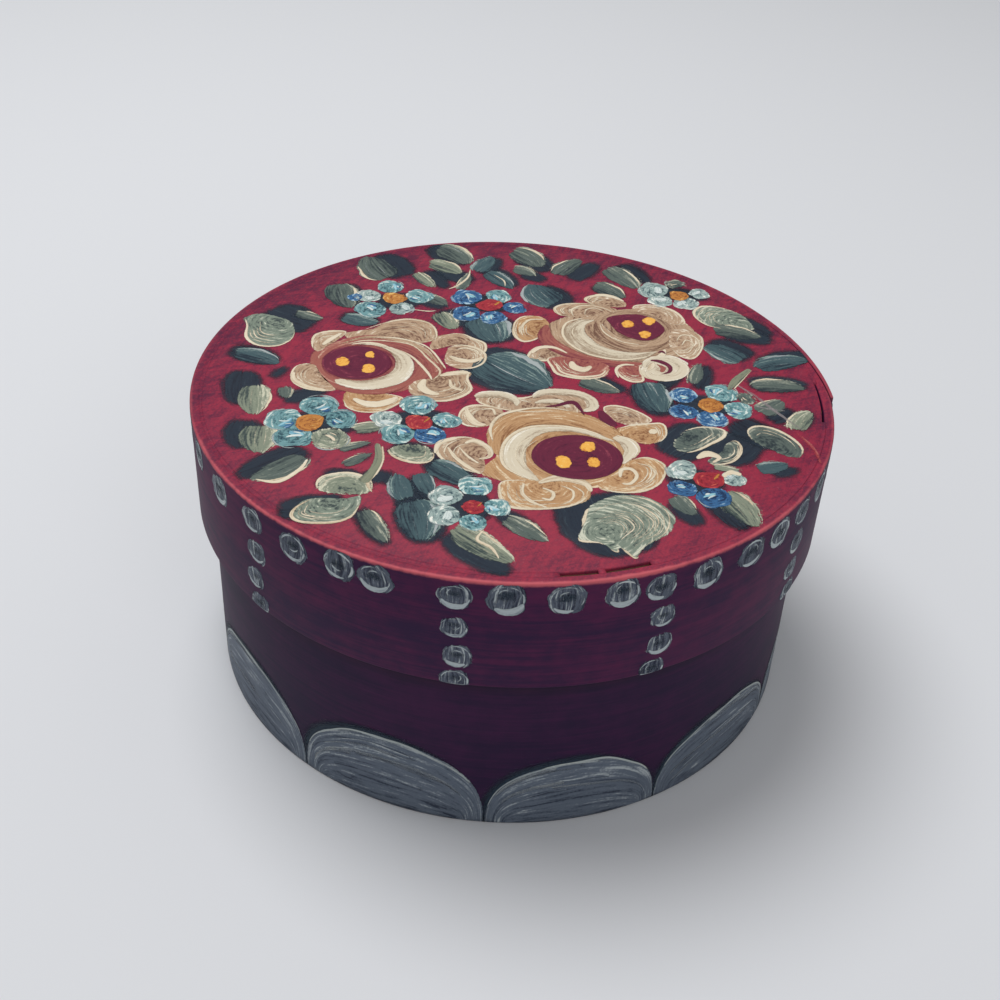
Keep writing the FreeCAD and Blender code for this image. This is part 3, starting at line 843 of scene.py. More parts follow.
LEAVES = (
    (-62.5, 31, 10, 6, -20, 20, "dusk", None),
    (-73.5, 5.5, 15, 9, -20, -20, "teal", (-1, 1.5, 1.05)),
    (-45.5, 65.5, 17, 13, 118, -30, "dusk", (5, 2, 1.0)),
    (-30, 58.4, 12, 6, -55, 10, "sage", (4, 1, 1.15)),
    (-23.5, 68, 13, 8.5, -32, -35, "sage", (3, -5, 1.1)),
    (-21, 77.5, 16, 11.5, -50, -40, "dusk", (-2, 0, 1.05)),
    (-10.6, 72, 13, 7.5, 68, 10, "teal", (1.5, -1, 1.0)),
    (-6, 61, 14, 8, -52, -15, "teal", (1, 2, 1.05)),
    (-16.5, 59, 13, 5, 78, 20, "dusk", None),
    (3, 78, 15, 11.5, -52, -40, "dusk", (2.5, -3, 1.0)),
    (2, 68, 9, 7, -35, -40, "dusk", (3, -3, 1.0)),
    (16.2, 73, 15, 8.5, 55, -15, "dusk", (5, -2.5, 1.0)),
    (7.5, 53, 15, 13, 118, -35, "teal", (3, -1, 1.0)),
    (33.5, 67, 17, 10, -56, -15, "dusk", (4, 3.5, 0.9)),
    (29, 57.5, 13, 9, -45, -20, "dusk", None),
    (-54.5, 45, 17, 11, -72, 25, "dusk", (2, 1, 0.9)),
    (-25, 45.3, 9, 6, -38, -30, "dusk", (-1, -1, 1.2)),
    (-21.5, 32.5, 12, 8, -62, 20, "sage", (2, 2, 1.0)),
    (-8, 28.7, 16, 15, -70, 10, "teal", (0.5, 0.5, 1.1)),
    (-47, 30, 12, 8, -15, 25, "teal", (0, 1, 1.0)),
    (0, 4, 25, 21, -40, 15, "teal", (-2, 1, 1.1)),
    (67, 34.5, 15, 9, -14, -30, "dusk", (3, -2, 1.0)),
    (62, 22.5, 14, 10, 142, 30, "teal", (2, 2, 1.05)),
    (78.5, 18, 18, 9, 22, -30, "teal", (1, 2.5, 1.0)),
    (75.6, 4.4, 16, 8.5, 2, -35, "dusk", (0, 1.5, 1.08)),
    (52.8, 9.4, 13, 5.5, 76, -10, "dusk", (1.5, -2, 1.1)),
    (24, -1, 13, 7.5, -28, 20, "dusk", (2, 1.5, 1.0)),
    (38.5, -5, 17, 12, -75, 15, "teal", (1, -1, 1.05)),
    (-71, -17, 16, 10, -82, 20, "sage", (-4, 6, 1.15)),
    (-63, -12.5, 7, 5, -80, 0, "dusk", None),
    (-66.5, -36, 14, 11, -82, 20, "sage", (-4, 2, 1.0)),
    (-58.5, -49, 17, 9, 222, -35, "dusk", (-2, 2.5, 1.2)),
    (-38, -28, 9, 6.5, 20, 0, "sage", None),
    (-40.5, -37, 10, 4.4, 28, 10, "dusk", None),
    (-39, -43, 10, 4.4, 42, 10, "dusk", None),
    (-32.5, -71, 15, 6.5, -60, 8, "dusk", (0, 0, 1.08)),
    (-27, -53.7, 12, 7.5, 104, -10, "teal", (2, -3.5, 1.15)),
    (-21.5, -52.5, 11, 6, -70, 10, "teal", (0, -1, 1.0)),
    (-22, -67.5, 17, 12, -78, -10, "teal", (1, 0, 1.1)),
    (-15, -47.5, 15, 9, -38, 10, "teal", (0, 1, 1.05)),
    (-6, -76.5, 20, 9, -40, 12, "sage", (-1, -3, 1.05)),
    (4.5, -69.5, 14, 7, -40, 10, "dusk", (-1.5, 2.5, 1.0)),
    (69, -37, 10, 6, 20, 20, "teal", (3, -1.5, 0.8)),
    (72.5, -7, 11, 8, 45, 15, "dusk", (2, -4, 0.9)),
    (80, -13, 12, 7.5, 60, -20, "sage", None),
    (58, -56, 16, 9.5, -65, -12, "sage", (-3, -1, 1.0)),
    (43.7, -56, 10, 6.5, -60, 10, "dusk", (1, -3, 1.1)),
    (56.5, -38.7, 8, 4, -12, 15, "sage", None),
)

# Broad leaves: the paint, the middle, the side that the cream edge faces away from, and the outline

BROAD_LEAVES = (
    ("fan", (-72, 23), (-68, 40), (
        (-65, 22), (-67, 27.5), (-72, 30.5), (-78, 31.5), (-82, 28), (-80.2, 24), (-79.5, 18), (-77, 13),
        (-72, 11.5), (-67.5, 13), (-65, 17))),
    ("sage", (-41, -54), (-39, -64), (
        (-33.9, -56.7), (-34.4, -52.2), (-37.8, -49.4), (-42.2, -48.6), (-47.2, -51), (-48.6, -54.4),
        (-47.8, -57.2), (-43.3, -58.9), (-37.8, -58.9))),
    ("fan", (-44, -64.5), (-42, -52), (
        (-36, -62), (-36.4, -58.6), (-40, -60), (-45.5, -60), (-51, -62), (-52.4, -66.7),
        (-52.8, -69.6), (-48.9, -71.2), (-42, -70.7), (-37.8, -67.8))),
    ("sage", (-26, -38.5), (-26, -28), (
        (-19.8, -37.8), (-23.3, -34.2), (-27.8, -34.2), (-32.4, -37.8), (-29.4, -41.7), (-24.4, -43.5),
        (-20.4, -42.2))),
    ("dusk", (49, -25.5), (40, -18), (
        (58.9, -20.6), (53.3, -18.6), (46.7, -21), (43, -27.8), (43.9, -31.4), (46.7, -32.4), (51, -30),
        (55.5, -25.5))),
    ("dusk", (57.5, -30.5), (50, -27), (
        (61.5, -27), (60, -24.6), (57.5, -26.5), (55.5, -31), (51.5, -35.5), (53.5, -37.2), (58, -35.5),
        (61, -31.5))),
    ("dusk", (71, -24), (67, -31), (
        (78.5, -28.9), (76.9, -23.3), (72.2, -18), (66.7, -16.4), (63.6, -20), (65.4, -25.5),
        (70, -29.6), (75.6, -31.9))),
    ("fan", (66, 41), (74, 36), (
        (73, 38), (71, 45), (66.5, 49.5), (60, 51.7), (55.8, 50), (54, 46.5), (55.5, 41.5), (59, 37.8),
        (64, 36.5), (69, 35.8))),
)

# Dark smudges between the flowers: x, y, length, width, angle

SMUDGES = (
    (-68, 29, 20, 20, -30),
    (-41, -53, 17, 14, -10),
    (-48, -64, 20, 13, 20),
    (-25, -38, 16, 12, -15),
    (47, -26, 22, 18, 60),
    (70, 38, 20, 16, -40),
    (60, -28, 20, 18, 50),
    (67, -21, 20, 15, -42),
    (-57, -13, 16, 10, 30),
    (-36, 44, 18, 14, 10),
    (-10, 45, 18, 14, -20),
    (52, 58, 20, 12, -10),
    (-25, -24, 20, 16, 20),
    (-12, -60, 16, 20, 80),
    (54, -8, 20, 14, 0),
    (48, -45, 18, 14, -30),
    (-50, -27, 20, 16, 0),
    (45, 5, 14, 9, 60),
    (-66, -2, 10, 7, 60),
    (-33, -50, 9, 12, 80),
)

# Stems, light edges and scrapes, each with its points and its width at them

LINES = (
    ("stem", ((-35, -35, 1.6), (-34, -42, 2.2), (-35, -48, 2.6), (-37, -53, 3.4))),
    ("cream", ((-33.6, -36, 0.7), (-32.8, -42, 0.9), (-33.6, -48, 0.9), (-35.5, -53, 1.2), (-34, -57, 0.7))),
    ("stem", ((61, 1, 1.4), (64, 7, 2.8), (68.5, 13.5, 1.6))),
    ("cream", ((62.5, 1.5, 0.4), (65.2, 6.5, 0.9), (69, 13, 0.5))),
    ("cream", ((-15.5, 68, 0.4), (-16, 62, 0.9), (-19, 56, 0.9), (-22, 53, 0.4))),
    ("cream", ((-8, 65, 0.4), (-4.5, 61, 0.8), (-4, 57, 0.4))),
    ("cream", ((-31.5, 38.8, 0.5), (-27, 38.2, 0.8), (-24.5, 38.8, 0.4))),
    ("cream", ((49, -34.5, 1.2), (52, -32, 3), (55, -33.5, 1.6), (53, -36, 1.0))),
    ("cream", ((55, -42.5, 1), (57.5, -40, 2.2), (60, -41, 1.4))),
    ("scratch", ((62, 6, 0.8), (68, -1, 1.4), (73, -9, 1.6), (80, -19, 0.8))),
    ("scratch", ((66, -6, 0.6), (71, -8, 1.0), (76, -8.5, 0.6))),
    ("scrape", ((77, -19, 0.7), (80.5, -26, 1.5), (82, -34, 0.8))),
    ("cream", ((-64, -54, 0.6), (-58, -54.5, 1.6), (-53.5, -49, 1.4), (-52, -44, 0.7))),
    ("cream", ((-5.5, -70, 0.5), (-7, -74, 1.2), (-3.5, -77, 1.2), (-1.5, -81, 0.6))),
)


def paint_leaves():
    """All the leaves: their shadows, the leaves, and the light lines along their edges and veins."""
    shadows = Brushwork(seed=11)
    leaves = Brushwork(seed=12)
    lines = Brushwork(seed=13)
    for x, y, length, width, angle in SMUDGES:
        shadows.stroke("shadow", x, y, length, width, angle, 20)
    for x, y, length, width, angle, bend, paint, shadow in LEAVES:
        shift_x, shift_y, grow = shadow or (0, 0, 1)
        spread = 3 if shadow else 1.5
        shadows.stroke(
            "shadow",
            x + shift_x,
            y + shift_y,
            length * grow + spread,
            width * grow + spread,
            angle,
            bend * 0.6,
        )
        form = {"angle": angle, "bend": bend, "ends": (0.38, 0.6)}
        leaves.stroke(paint, x, y, length + 1, width + 1.2, layer=2, rough=1.4, **form)
        for share, wide in ((0.9, 0.11), (0.45, 0.035), (-0.1, 0.03)):
            start = leaves.chance.uniform(-0.9, -0.3)
            share += leaves.chance.uniform(-0.06, 0.03)
            bright = paint == "sage" or (paint == "dusk" and share > 0.8)
            lines.stroke(
                "cream" if bright else "mist",
                x,
                y,
                length,
                width,
                layer=3,
                share=(share - wide, share + wide),
                reach=(start, start + leaves.chance.uniform(0.8, 1.5)),
                detail=(16, 3),
                **form,
            )
    for paint, eye, back, outline in BROAD_LEAVES:
        leaves.petal(paint, outline, eye, back, 2, 4 if paint == "fan" else 2)
    for paint, points in LINES:
        lines.ribbon(paint, points)
    shadows.wrap("lid_leaf_shadows", "lid", on_lid)
    leaves.wrap("lid_leaves", "lid", on_lid)
    lines.wrap("lid_leaf_lines", "lid", on_lid)


# The large leaf at the front right, and where its stripes run round

FAN_OUTLINE = (
    (41.8, -61.2), (39.9, -56.6), (36.7, -53.5), (32.2, -51.9), (27.2, -52.5), (23.1, -54.8),
    (20.4, -57.5), (19, -61.5), (18.3, -66.2), (17.2, -72), (22.6, -73), (26.3, -76.4), (27.6, -74.5),
    (31, -78.2), (32.6, -75), (36, -71.3), (40.2, -67),
)
FAN_EYE = (23.5, -68.5)


def paint_fan_leaf():
    """The striped leaf, brushed round from its left side to its tips."""
    work = Brushwork(seed=17)
    work.stroke("shadow", 25, -65, 29, 29, -70, 0, layer=0)
    work.patch("fan", FAN_OUTLINE, FAN_EYE, 1, 20)
    for number in range(5):
        ring = 0.3 + 0.14 * number
        first = -0.24 + work.chance.uniform(0, 0.12)
        last = 0.36 + work.chance.uniform(-0.16, 0.04)
        work.echo("dusk", FAN_OUTLINE, FAN_EYE, ring, (first, last), work.chance.uniform(1.2, 2.4), 2)
    for number in range(17):
        ring = 0.24 + 0.043 * number
        first = -0.22 + work.chance.uniform(0, 0.14)
        last = 0.34 + work.chance.uniform(-0.16, 0.04)
        work.echo("cream", FAN_OUTLINE, FAN_EYE, ring, (first, last), work.chance.uniform(0.3, 0.6), 3)
    for first, last, width in ((0.37, 0.48, 1.2), (0.51, 0.6, 0.9), (0.62, 0.69, 0.7), (0.7, 0.79, 0.9)):
        work.echo("cream", FAN_OUTLINE, FAN_EYE, 0.97, (first, last), width, 3)
    work.wrap("lid_striped_leaf", "lid", on_lid)


# Small flowers: the centre's x, y, size and paint, then each petal's x, y, size and paint

FLOWERS = (
    ((-38, 45.5, 7.5, "orange"), (
        (-39.7, 53.2, 8, "turquoise"), (-30.3, 47.8, 8.5, "turquoise"), (-35, 39, 7.5, "pale"),
        (-44.7, 37.2, 9, "turquoise"), (-46, 46, 7.5, "pale"), (-50, 45, 5, "blue"))),
    ((-8.4, 44, 7.8, "red"), (
        (-16, 48.7, 9, "blue"), (-5.6, 50.4, 8, "turquoise"), (-0.5, 43.4, 7, "blue"),
        (-6.9, 36.2, 8, "blue"), (-15.6, 38, 9, "blue"))),
    ((51, 57, 6, "orange"), (
        (42.8, 60, 9.5, "pale"), (50.3, 65, 6.5, "dusk"), (57.8, 59, 6.5, "pale"),
        (44.7, 52.5, 7.5, "pale"), (52.8, 51.9, 8, "pale"))),
    ((-53.9, -26.9, 8, "orange"), (
        (-52.5, -18, 10, "turquoise"), (-61.3, -26.2, 10, "turquoise"), (-57.5, -34.4, 10, "turquoise"),
        (-45.6, -24.4, 8.5, "turquoise"), (-47.5, -34.4, 10, "sage"))),
    ((-25, -24, 7.4, "red"), (
        (-26, -15, 9.5, "turquoise"), (-34, -23.4, 8, "pale"), (-30.6, -30, 9, "turquoise"),
        (-21.6, -30, 8.5, "blue"), (-17.2, -22.2, 7.5, "turquoise"))),
    ((-8.7, -61, 6, "red"), (
        (-8.4, -51.6, 8.5, "turquoise"), (-16, -56.6, 8, "pale"), (-16, -65, 8, "pale"),
        (-8.4, -67.5, 6.5, "turquoise"), (-2.5, -60.6, 7, "turquoise"))),
    ((55, -7.5, 7, "orange"), (
        (47.8, -2.8, 7.5, "blue"), (59, -0.5, 9, "turquoise"), (63.1, -9.4, 8, "turquoise"),
        (55, -15, 8.5, "blue"), (47.2, -12, 7.5, "blue"), (65.5, -3, 6, "dusk"))),
    ((51.2, -44, 8, "red"), (
        (44.4, -40, 8.2, "pale"), (44, -48.7, 7, "blue"), (51.9, -51.9, 8.5, "blue"),
        (58, -42.5, 6.5, "pale"))),
)


# The paints of the light part, the highlights and the deep part of each kind of petal

PETAL_TONES = {
    "turquoise": ("sky", "dab", "blue"),
    "blue": ("sky", "dab", "teal"),
    "pale": ("dab", "dab", "teal"),
    "dusk": ("sage", "cream", "teal"),
    "sage": ("fan", "cream", "dusk"),
}


def ring_of_points(x, y, size, chance):
    """A hand-drawn round outline."""
    lumps = 8
    points = []
    for number in range(lumps):
        angle = math.tau * number / lumps
        reach = size / 2 * (1 + chance.uniform(-0.12, 0.12))
        points.append((x + reach * math.cos(angle), y + reach * math.sin(angle)))
    return points


def curl(work, paint, x, y, radius, start, sweep, width, layer, stretch=1):
    """A short curved dab about x, y."""
    points = []
    for step in range(5):
        angle = math.radians(start + sweep * step / 4)
        swell = width * math.sin(math.pi * (step + 0.7) / 5.4)
        points.append((x + stretch * radius * math.cos(angle), y + radius * math.sin(angle), swell))
    work.ribbon(paint, points, layer, (14, 3))


def lobed_ring(x, y, size, turn, chance):
    """A hand-drawn outline with a notch on the side that turn points to."""
    lumps = 10
    points = []
    for number in range(lumps):
        angle = math.tau * number / lumps
        reach = size / 2 * (1.04 - 0.2 * math.cos(angle) ** 8 * (math.cos(angle) > 0))
        reach *= 1 + chance.uniform(-0.08, 0.08)
        points.append((x + reach * math.cos(turn + angle), y + reach * math.sin(turn + angle)))
    return points


def paint_small_petal(work, petal, outward):
    """A small flower's petal: hatched across, with its light and deep touches to one side."""
    x, y, size, paint = petal
    turn = math.radians(outward + work.chance.uniform(-50, 50))
    outline = lobed_ring(x, y, size * 1.12, turn, work.chance)
    eye = (x - size * 0.34 * math.cos(turn), y - size * 0.34 * math.sin(turn))
    work.patch(paint, outline, eye, 3, 12)
    for number in range(6):
        off = (number - 2.5 + work.chance.uniform(-0.4, 0.4)) * size * 0.15
        long = size * work.chance.uniform(0.4, 0.75)
        lean = work.chance.uniform(75, 110)
        work.stroke("hatch", x + off, y, long, size * 0.06, lean, 20, 4, detail=(6, 2))
    lit, light, deep = PETAL_TONES[paint]
    side = math.radians(outward + 180 + work.chance.uniform(-80, 80))
    touches = (
        (lit, 0.2, 0.6, 0.32, 4),
        (deep, 0.34, 0.45, 0.2, 5),
        (light, 0.1, 0.45, 0.11, 5),
        (light, 0.26, 0.25, 0.1, 6),
    )
    for touch, reach, long, wide, layer in touches:
        touch_x = x + size * reach * math.cos(side)
        touch_y = y + size * reach * math.sin(side)
        long *= size * work.chance.uniform(0.7, 1.1)
        wide *= size * work.chance.uniform(0.7, 1.2)
        lean = math.degrees(side) + work.chance.uniform(50, 130)
        bend = work.chance.uniform(20, 70)
        work.stroke(touch, touch_x, touch_y, long, wide, lean, bend, layer, detail=(9, 4))
    for number in range(2):
        start = outward + number * 110 + work.chance.uniform(-130, -80)
        sweep = work.chance.uniform(40, 110)
        wide = size * work.chance.uniform(0.04, 0.08)
        curl(work, "mist", x, y, size * 0.5, start, sweep, wide, 5)


def paint_flowers():
    """The small flowers: their petals, and their centres with curled dabs."""
    petals = Brushwork(seed=21)
    centres = Brushwork(seed=22)
    for (x, y, size, paint), around in FLOWERS:
        outline = ring_of_points(x, y, size + 0.8, centres.chance)
        centres.patch(paint, outline, (x + 0.8, y - 0.5), 5, 10)
        for start in (20, 150, 260):
            curl(centres, paint, x, y, size * 0.28, start, 90, 1.6, 6)
        centres.stroke("orange", x + size * 0.3, y + size * 0.2, size * 0.5, size * 0.2, 60, 20, 7)
        for petal in around:
            paint_small_petal(petals, petal, math.degrees(math.atan2(petal[1] - y, petal[0] - x)))
    petals.wrap("flower_petals", "lid", on_lid)
    centres.wrap("flower_centres", "lid", on_lid)


# Roses. A petal is its paint, its layer, its eye and its outline; a line is its paint, its layer and its
# points, each with the line's width there.


def paint_rose(name, seed, heart, body, petals, lines, dots):
    """A rose: its body, its petals round it, the brushed lines, and the dark heart with its dots."""
    work = Brushwork(seed)
    paint, eye, outline = body
    work.patch(paint, outline, eye, 0, 20)
    for paint, layer, eye, outline in petals:
        work.petal(paint, outline, eye, heart[1], layer)
    for paint, layer, points in lines:
        work.ribbon(paint, points, layer)
    outline, eye = heart
    work.patch("maroon", outline, eye, 5, 16)
    for x, y, size in dots:
        shape = [(x + (px - x) * 0.8, py) for px, py in ring_of_points(x, y, size + 0.7, work.chance)]
        work.patch("yellow", shape, (x, y), 6, 8)
    work.wrap(name, "lid", on_lid)


def oval(x, y, half_width, half_height, count=10):
    turns = [math.tau * number / count for number in range(count)]
    return [(x + half_width * math.cos(turn), y + half_height * math.sin(turn)) for turn in turns]


def paint_left_rose():
    petals = (
        ("tan", 1, (-34, 20), (
            (-23, 24), (-24.5, 30), (-30, 33.5), (-37.5, 32), (-43, 26), (-51, 22), (-46, 17), (-36, 17),
            (-25, 19.5))),
        ("tan", 1, (-55, 16), (
            (-50, 23.5), (-57, 22.5), (-59.5, 19), (-59, 13), (-57, 10.5), (-53, 16))),
        ("tan", 1, (-17, 20), (
            (-8.2, 15), (-8.5, 20.3), (-12, 23), (-15, 25.3), (-18.3, 25.8), (-23.3, 23.7), (-25, 20),
            (-24.5, 15), (-18, 18), (-13, 16.5))),
        ("tan", 2, (-14, 13), (
            (-7.9, 10.8), (-8.7, 15.8), (-13.3, 18.7), (-18, 18.3), (-20, 15.8), (-20.4, 9.2),
            (-18.3, 5.8), (-14.2, 4.6), (-10, 6.7))),
        ("tan", 2, (-20, -2.5), (
            (-11.7, 3.3), (-15.8, 4.2), (-20, 2.5), (-23.3, -0.8), (-27.5, -2.5), (-29.6, -6.7),
            (-28.3, -10.8), (-25, -12.5), (-20.8, -13.7), (-16.7, -12.5), (-12.5, -9.2), (-10.8, -5),
            (-12.5, -0.8))),
        ("ochre", 1, (-38, -11.5), (
            (-30.4, -11.7), (-36.7, -10), (-41.7, -10), (-46.3, -10), (-47, -13.3), (-46.2, -17.5),
            (-43.3, -20), (-39.2, -20.7), (-34.2, -19.2), (-30.8, -15))),
        ("tan", 1, (-55.5, -3), (
            (-57, 3.5), (-61, 3.5), (-62.8, -1), (-62.3, -5), (-59.5, -8.5), (-54, -11), (-49.5, -10.5),
            (-49.5, -8.8), (-53, -5), (-55.5, 0))),
    )
    lines = (
        ("blush", 2, ((-56, 6, 2), (-53, 13, 5), (-44, 19, 6), (-34, 17.5, 6), (-25.5, 11, 6),
                      (-22.5, 2, 4))),
        ("tan", 3, ((-52, 14.5, 1), (-44, 20.3, 2.4), (-35, 20, 3), (-27, 15.5, 2.6), (-21.5, 7, 1.5))),
        ("cream", 4, ((-50, 14.8, 0.4), (-45, 18, 0.8), (-38, 18.8, 0.8), (-30, 17, 0.9), (-25, 10, 0.9),
                      (-21, 3, 0.9), (-22.5, -1.5, 0.5))),
        ("cream", 4, ((-37, 15.5, 0.4), (-31, 11.8, 0.9), (-27, 6.5, 1.1), (-24, 1, 1.0), (-23, -2, 0.5))),
        ("cream", 4, ((-43, 20.3, 0.4), (-35, 20.7, 0.9), (-28.5, 18.5, 0.9), (-24.5, 15, 0.8),
                      (-20.3, 6.5, 0.8), (-19.5, 4, 0.4))),
        ("milk", 4, ((-49, 14.6, 0.7), (-42.5, 16.4, 1.7), (-37, 14.6, 2.8), (-32.6, 10, 5.2),
                     (-31.2, 4, 6.4), (-33, -1.5, 7), (-37.5, -5.2, 6.4), (-43, -6.6, 5.4),
                     (-48, -5.4, 4), (-50.2, -4.4, 2))),
        ("cream", 4, ((-48, 15.6, 0.6), (-43, 17.2, 1.2), (-38, 16, 1.0), (-34.5, 12.5, 0.6))),
        ("cream", 4, ((-51.5, 22, 1), (-54, 18.3, 2), (-56, 14.5, 1.2))),
        ("cream", 4, ((-19, 12, 1.2), (-16, 10, 2.4), (-12, 9.8, 2.2), (-9, 12.3, 1))),
        ("cream", 4, ((-17.5, 15.5, 0.5), (-14.5, 17, 0.9), (-11, 15.5, 0.8), (-10.8, 13, 0.4))),
        ("cream", 4, ((-25, -1.6, 1.4), (-25.6, -5.5, 2.8), (-23.5, -8.4, 2.6), (-20.3, -9.3, 1.2))),
        ("cream", 4, ((-21, 0.6, 1), (-17, 2.4, 2.4), (-12.3, 3, 1.2))),
        ("cream", 4, ((-18, -1, 0.8), (-17, -5, 1.6), (-14, -6.5, 1.2))),
        ("cream", 4, ((-43.8, -13.6, 1.4), (-40.5, -15.9, 2.8), (-36.7, -16, 3.2), (-33, -13.6, 2.8),
                      (-31.9, -11.7, 1.4))),
        ("cream", 4, ((-62, -1.5, 1), (-61.4, -5.5, 2), (-57.5, -9, 2.4), (-51.5, -10.4, 1.4))),
        ("blush", 4, ((-50, -8.5, 1.4), (-42, -10.6, 2.2), (-34, -9.5, 1.8), (-29.5, -5.5, 1.2))),
    )
    body = ("blush", (-43, 5.5), (
        (-20, 2), (-20.5, 8), (-25, 16), (-33, 20.5), (-42, 21), (-50, 19), (-56, 14), (-59, 8),
        (-55, -6), (-45, -11), (-33, -10), (-24, -4)))
    heart = (oval(-45, 5.6, 10.4, 9.8), (-45, 5.6))
    dots = ((-49.2, 5.7, 5.3), (-41.7, 10.3, 4), (-41.4, 2.5, 5))
    paint_rose("left_rose", 31, heart, body, petals, lines, dots)


def paint_right_rose():
    petals = (
        ("tan", 1, (29, 48), (
            (33.8, 47.7), (34.2, 50.8), (31, 53.8), (27.2, 55.2), (23.4, 54.2), (21, 51.5), (23.4, 48.2),
            (28.8, 47))),
        ("tan", 2, (21, 42.5), (
            (30.3, 43.8), (31, 46.2), (25.7, 48.5), (18.8, 48.5), (13.4, 47.3), (11, 44.6), (11.8, 42),
            (13.4, 40), (18, 39.2), (25, 40.8))),
        ("tan", 1, (42, 42.5), (
            (48, 37.7), (51.8, 38.5), (51.5, 43), (48.8, 47.3), (43.4, 50), (38, 50), (35.3, 47.7),
            (37.2, 45.4), (41.8, 42), (45, 40))),
        ("tan", 1, (50, 27), (
            (55.7, 23), (56.8, 29.2), (55, 33.8), (51, 35.8), (47.2, 34.6), (45.7, 29.2), (45.7, 24.6),
            (48, 19.2), (51, 17), (53.4, 18))),
        ("ochre", 1, (7, 31), (
            (8.8, 30.8), (10.3, 34.6), (8, 38.5), (4.2, 39.2), (0.3, 37), (-1.2, 31.5), (-0.5, 24.6),
            (3.4, 22.3), (7.2, 26))),
        ("tan", 1, (11, 14.5), (
            (17.2, 13.8), (16.5, 17), (14.2, 19.2), (10.3, 21.2), (6.5, 20.4), (4.2, 17), (3.8, 13),
            (8, 12), (12, 13))),
        ("blush", 2, (18.5, 10.5), (
            (28, 10.8), (25.7, 13.8), (20.3, 14.6), (15, 15.4), (10.3, 14.6), (8.8, 12.3), (11, 7.7),
            (12.6, 4.6), (18, 2.7), (23.4, 3), (27.2, 6.2))),
        ("blush", 1, (34.5, 8.5), (
            (37.2, 10.8), (35, 13), (31, 12.3), (29.2, 10), (30, 6.2), (32.6, 3), (36.5, 3), (37, 6.2))),
        ("milk", 2, (42.5, 7.5), (
            (51, 14.8), (48.8, 17.7), (45.3, 19.5), (40.7, 18.1), (37.6, 15.6), (37.2, 12.9), (35.7, 9.8),
            (36.8, 6), (41.5, 3.9), (46, 5.2), (48.8, 8.7), (49.5, 11.8))),
    )
    lines = (
        ("blush", 2, ((9.5, 34, 2), (8.8, 27, 5.5), (12, 20.5, 6.5), (20, 14.8, 5.5), (30, 12.6, 4.5),
                      (38, 13.5, 2))),
        ("tan", 3, ((24.5, 38.5, 2), (26, 30.5, 6), (31, 24.7, 7.5), (37.5, 23, 7.5), (43, 26.2, 4.6),
                    (46.5, 30, 1.5))),
        ("cream", 4, ((25.5, 37, 0.4), (26.5, 31, 0.7), (31, 26, 0.7), (37, 24.4, 0.6))),
        ("cream", 4, ((24.2, 34, 0.4), (25.2, 28.5, 0.6), (30, 23, 0.7), (36, 21.2, 0.7), (42, 23, 0.4))),
        ("milk", 3, ((24.5, 38.5, 1.4), (19.8, 36, 4.6), (17.6, 31, 7.2), (18.6, 26, 8.2), (22.5, 20.6, 7.8),
                     (28.5, 17.4, 6.8), (34.5, 17.2, 5.6), (39, 19, 3.4), (42.5, 21.4, 1))),
        ("cream", 4, ((21.5, 39.6, 0.6), (15.4, 35.5, 0.9), (14.2, 28, 1.1), (17.3, 21.3, 1.1),
                      (23, 16.6, 1.1), (30.5, 15, 1.1), (37, 16.6, 0.9), (41.5, 20, 0.5))),
        ("cream", 4, ((18, 34, 0.4), (17, 29, 0.6), (20, 23.5, 0.6), (26, 19, 0.6), (33, 17.6, 0.4))),
        ("cream", 4, ((17.5, 39.6, 0.5), (17, 44, 0.9), (20.5, 47, 0.9), (26, 46.3, 0.8), (29.5, 44, 0.4))),
        ("cream", 4, ((21, 41, 0.5), (21.5, 44.5, 0.8), (24, 45.8, 0.7), (27, 44, 0.4))),
        ("cream", 4, ((22.5, 52.5, 1.0), (26, 54.6, 2.0), (30, 53.9, 1.8), (33.5, 51, 0.8))),
        ("cream", 4, ((48, 27, 0.4), (50, 31.5, 0.8), (54, 30.5, 0.9), (54.8, 25, 0.8), (53, 20.5, 0.4))),
        ("cream", 4, ((49.5, 25, 0.4), (51, 28.5, 0.7), (53, 27, 0.7), (52, 23.5, 0.4))),
        ("cream", 4, ((2.2, 26, 0.5), (1.6, 31, 1.1), (4, 36, 1.1), (8.5, 36.8, 0.5))),
        ("cream", 4, ((5, 16, 1), (7.5, 19.6, 1.8), (11.5, 20, 1.6), (15.5, 17, 0.8))),
        ("cream", 4, ((16.5, 12.6, 1.2), (17.3, 9.5, 3), (20, 8.2, 3), (22.3, 10.5, 1.2))),
        ("cream", 4, ((12, 11.5, 0.5), (13.5, 6.5, 1.0), (18.5, 4.2, 1.2), (24.5, 5.5, 1.0),
                      (26.6, 9, 0.5))),
        ("blush", 4, ((41.3, 13.6, 1), (43.2, 11.4, 2.6), (42.4, 8.8, 1.5))),
        ("maroon", 5, ((39.4, 15.4, 1.4), (42.4, 15, 2.6), (45, 12.4, 2.4), (44.6, 9.2, 2),
                       (41.6, 7.6, 1))),
        ("maroon", 5, ((42, 19.8, 1.2), (43.4, 20.9, 2), (44.4, 19.4, 1))),
        ("milk", 4, ((37.6, 10.5, 2), (39, 14.6, 3.6), (42.6, 17.2, 3.4), (46.6, 16.2, 3.6), (49.2, 12.4, 4),
                     (47.8, 8, 4), (43.5, 5.6, 4), (39.4, 6.4, 3.6), (38.2, 9.6, 2))),
        ("cream", 4, ((42.2, 17, 2.6), (43.6, 19.6, 2.0), (44.3, 22.4, 0.8))),
        ("cream", 5, ((40.4, 14.2, 0.8), (39.8, 12, 2.2), (38.6, 9.6, 0.8))),
        ("cream", 4, ((30, 4.5, 0.6), (29.4, 9, 1.2), (31.5, 12, 1.2), (35, 12.3, 0.7))),
    )
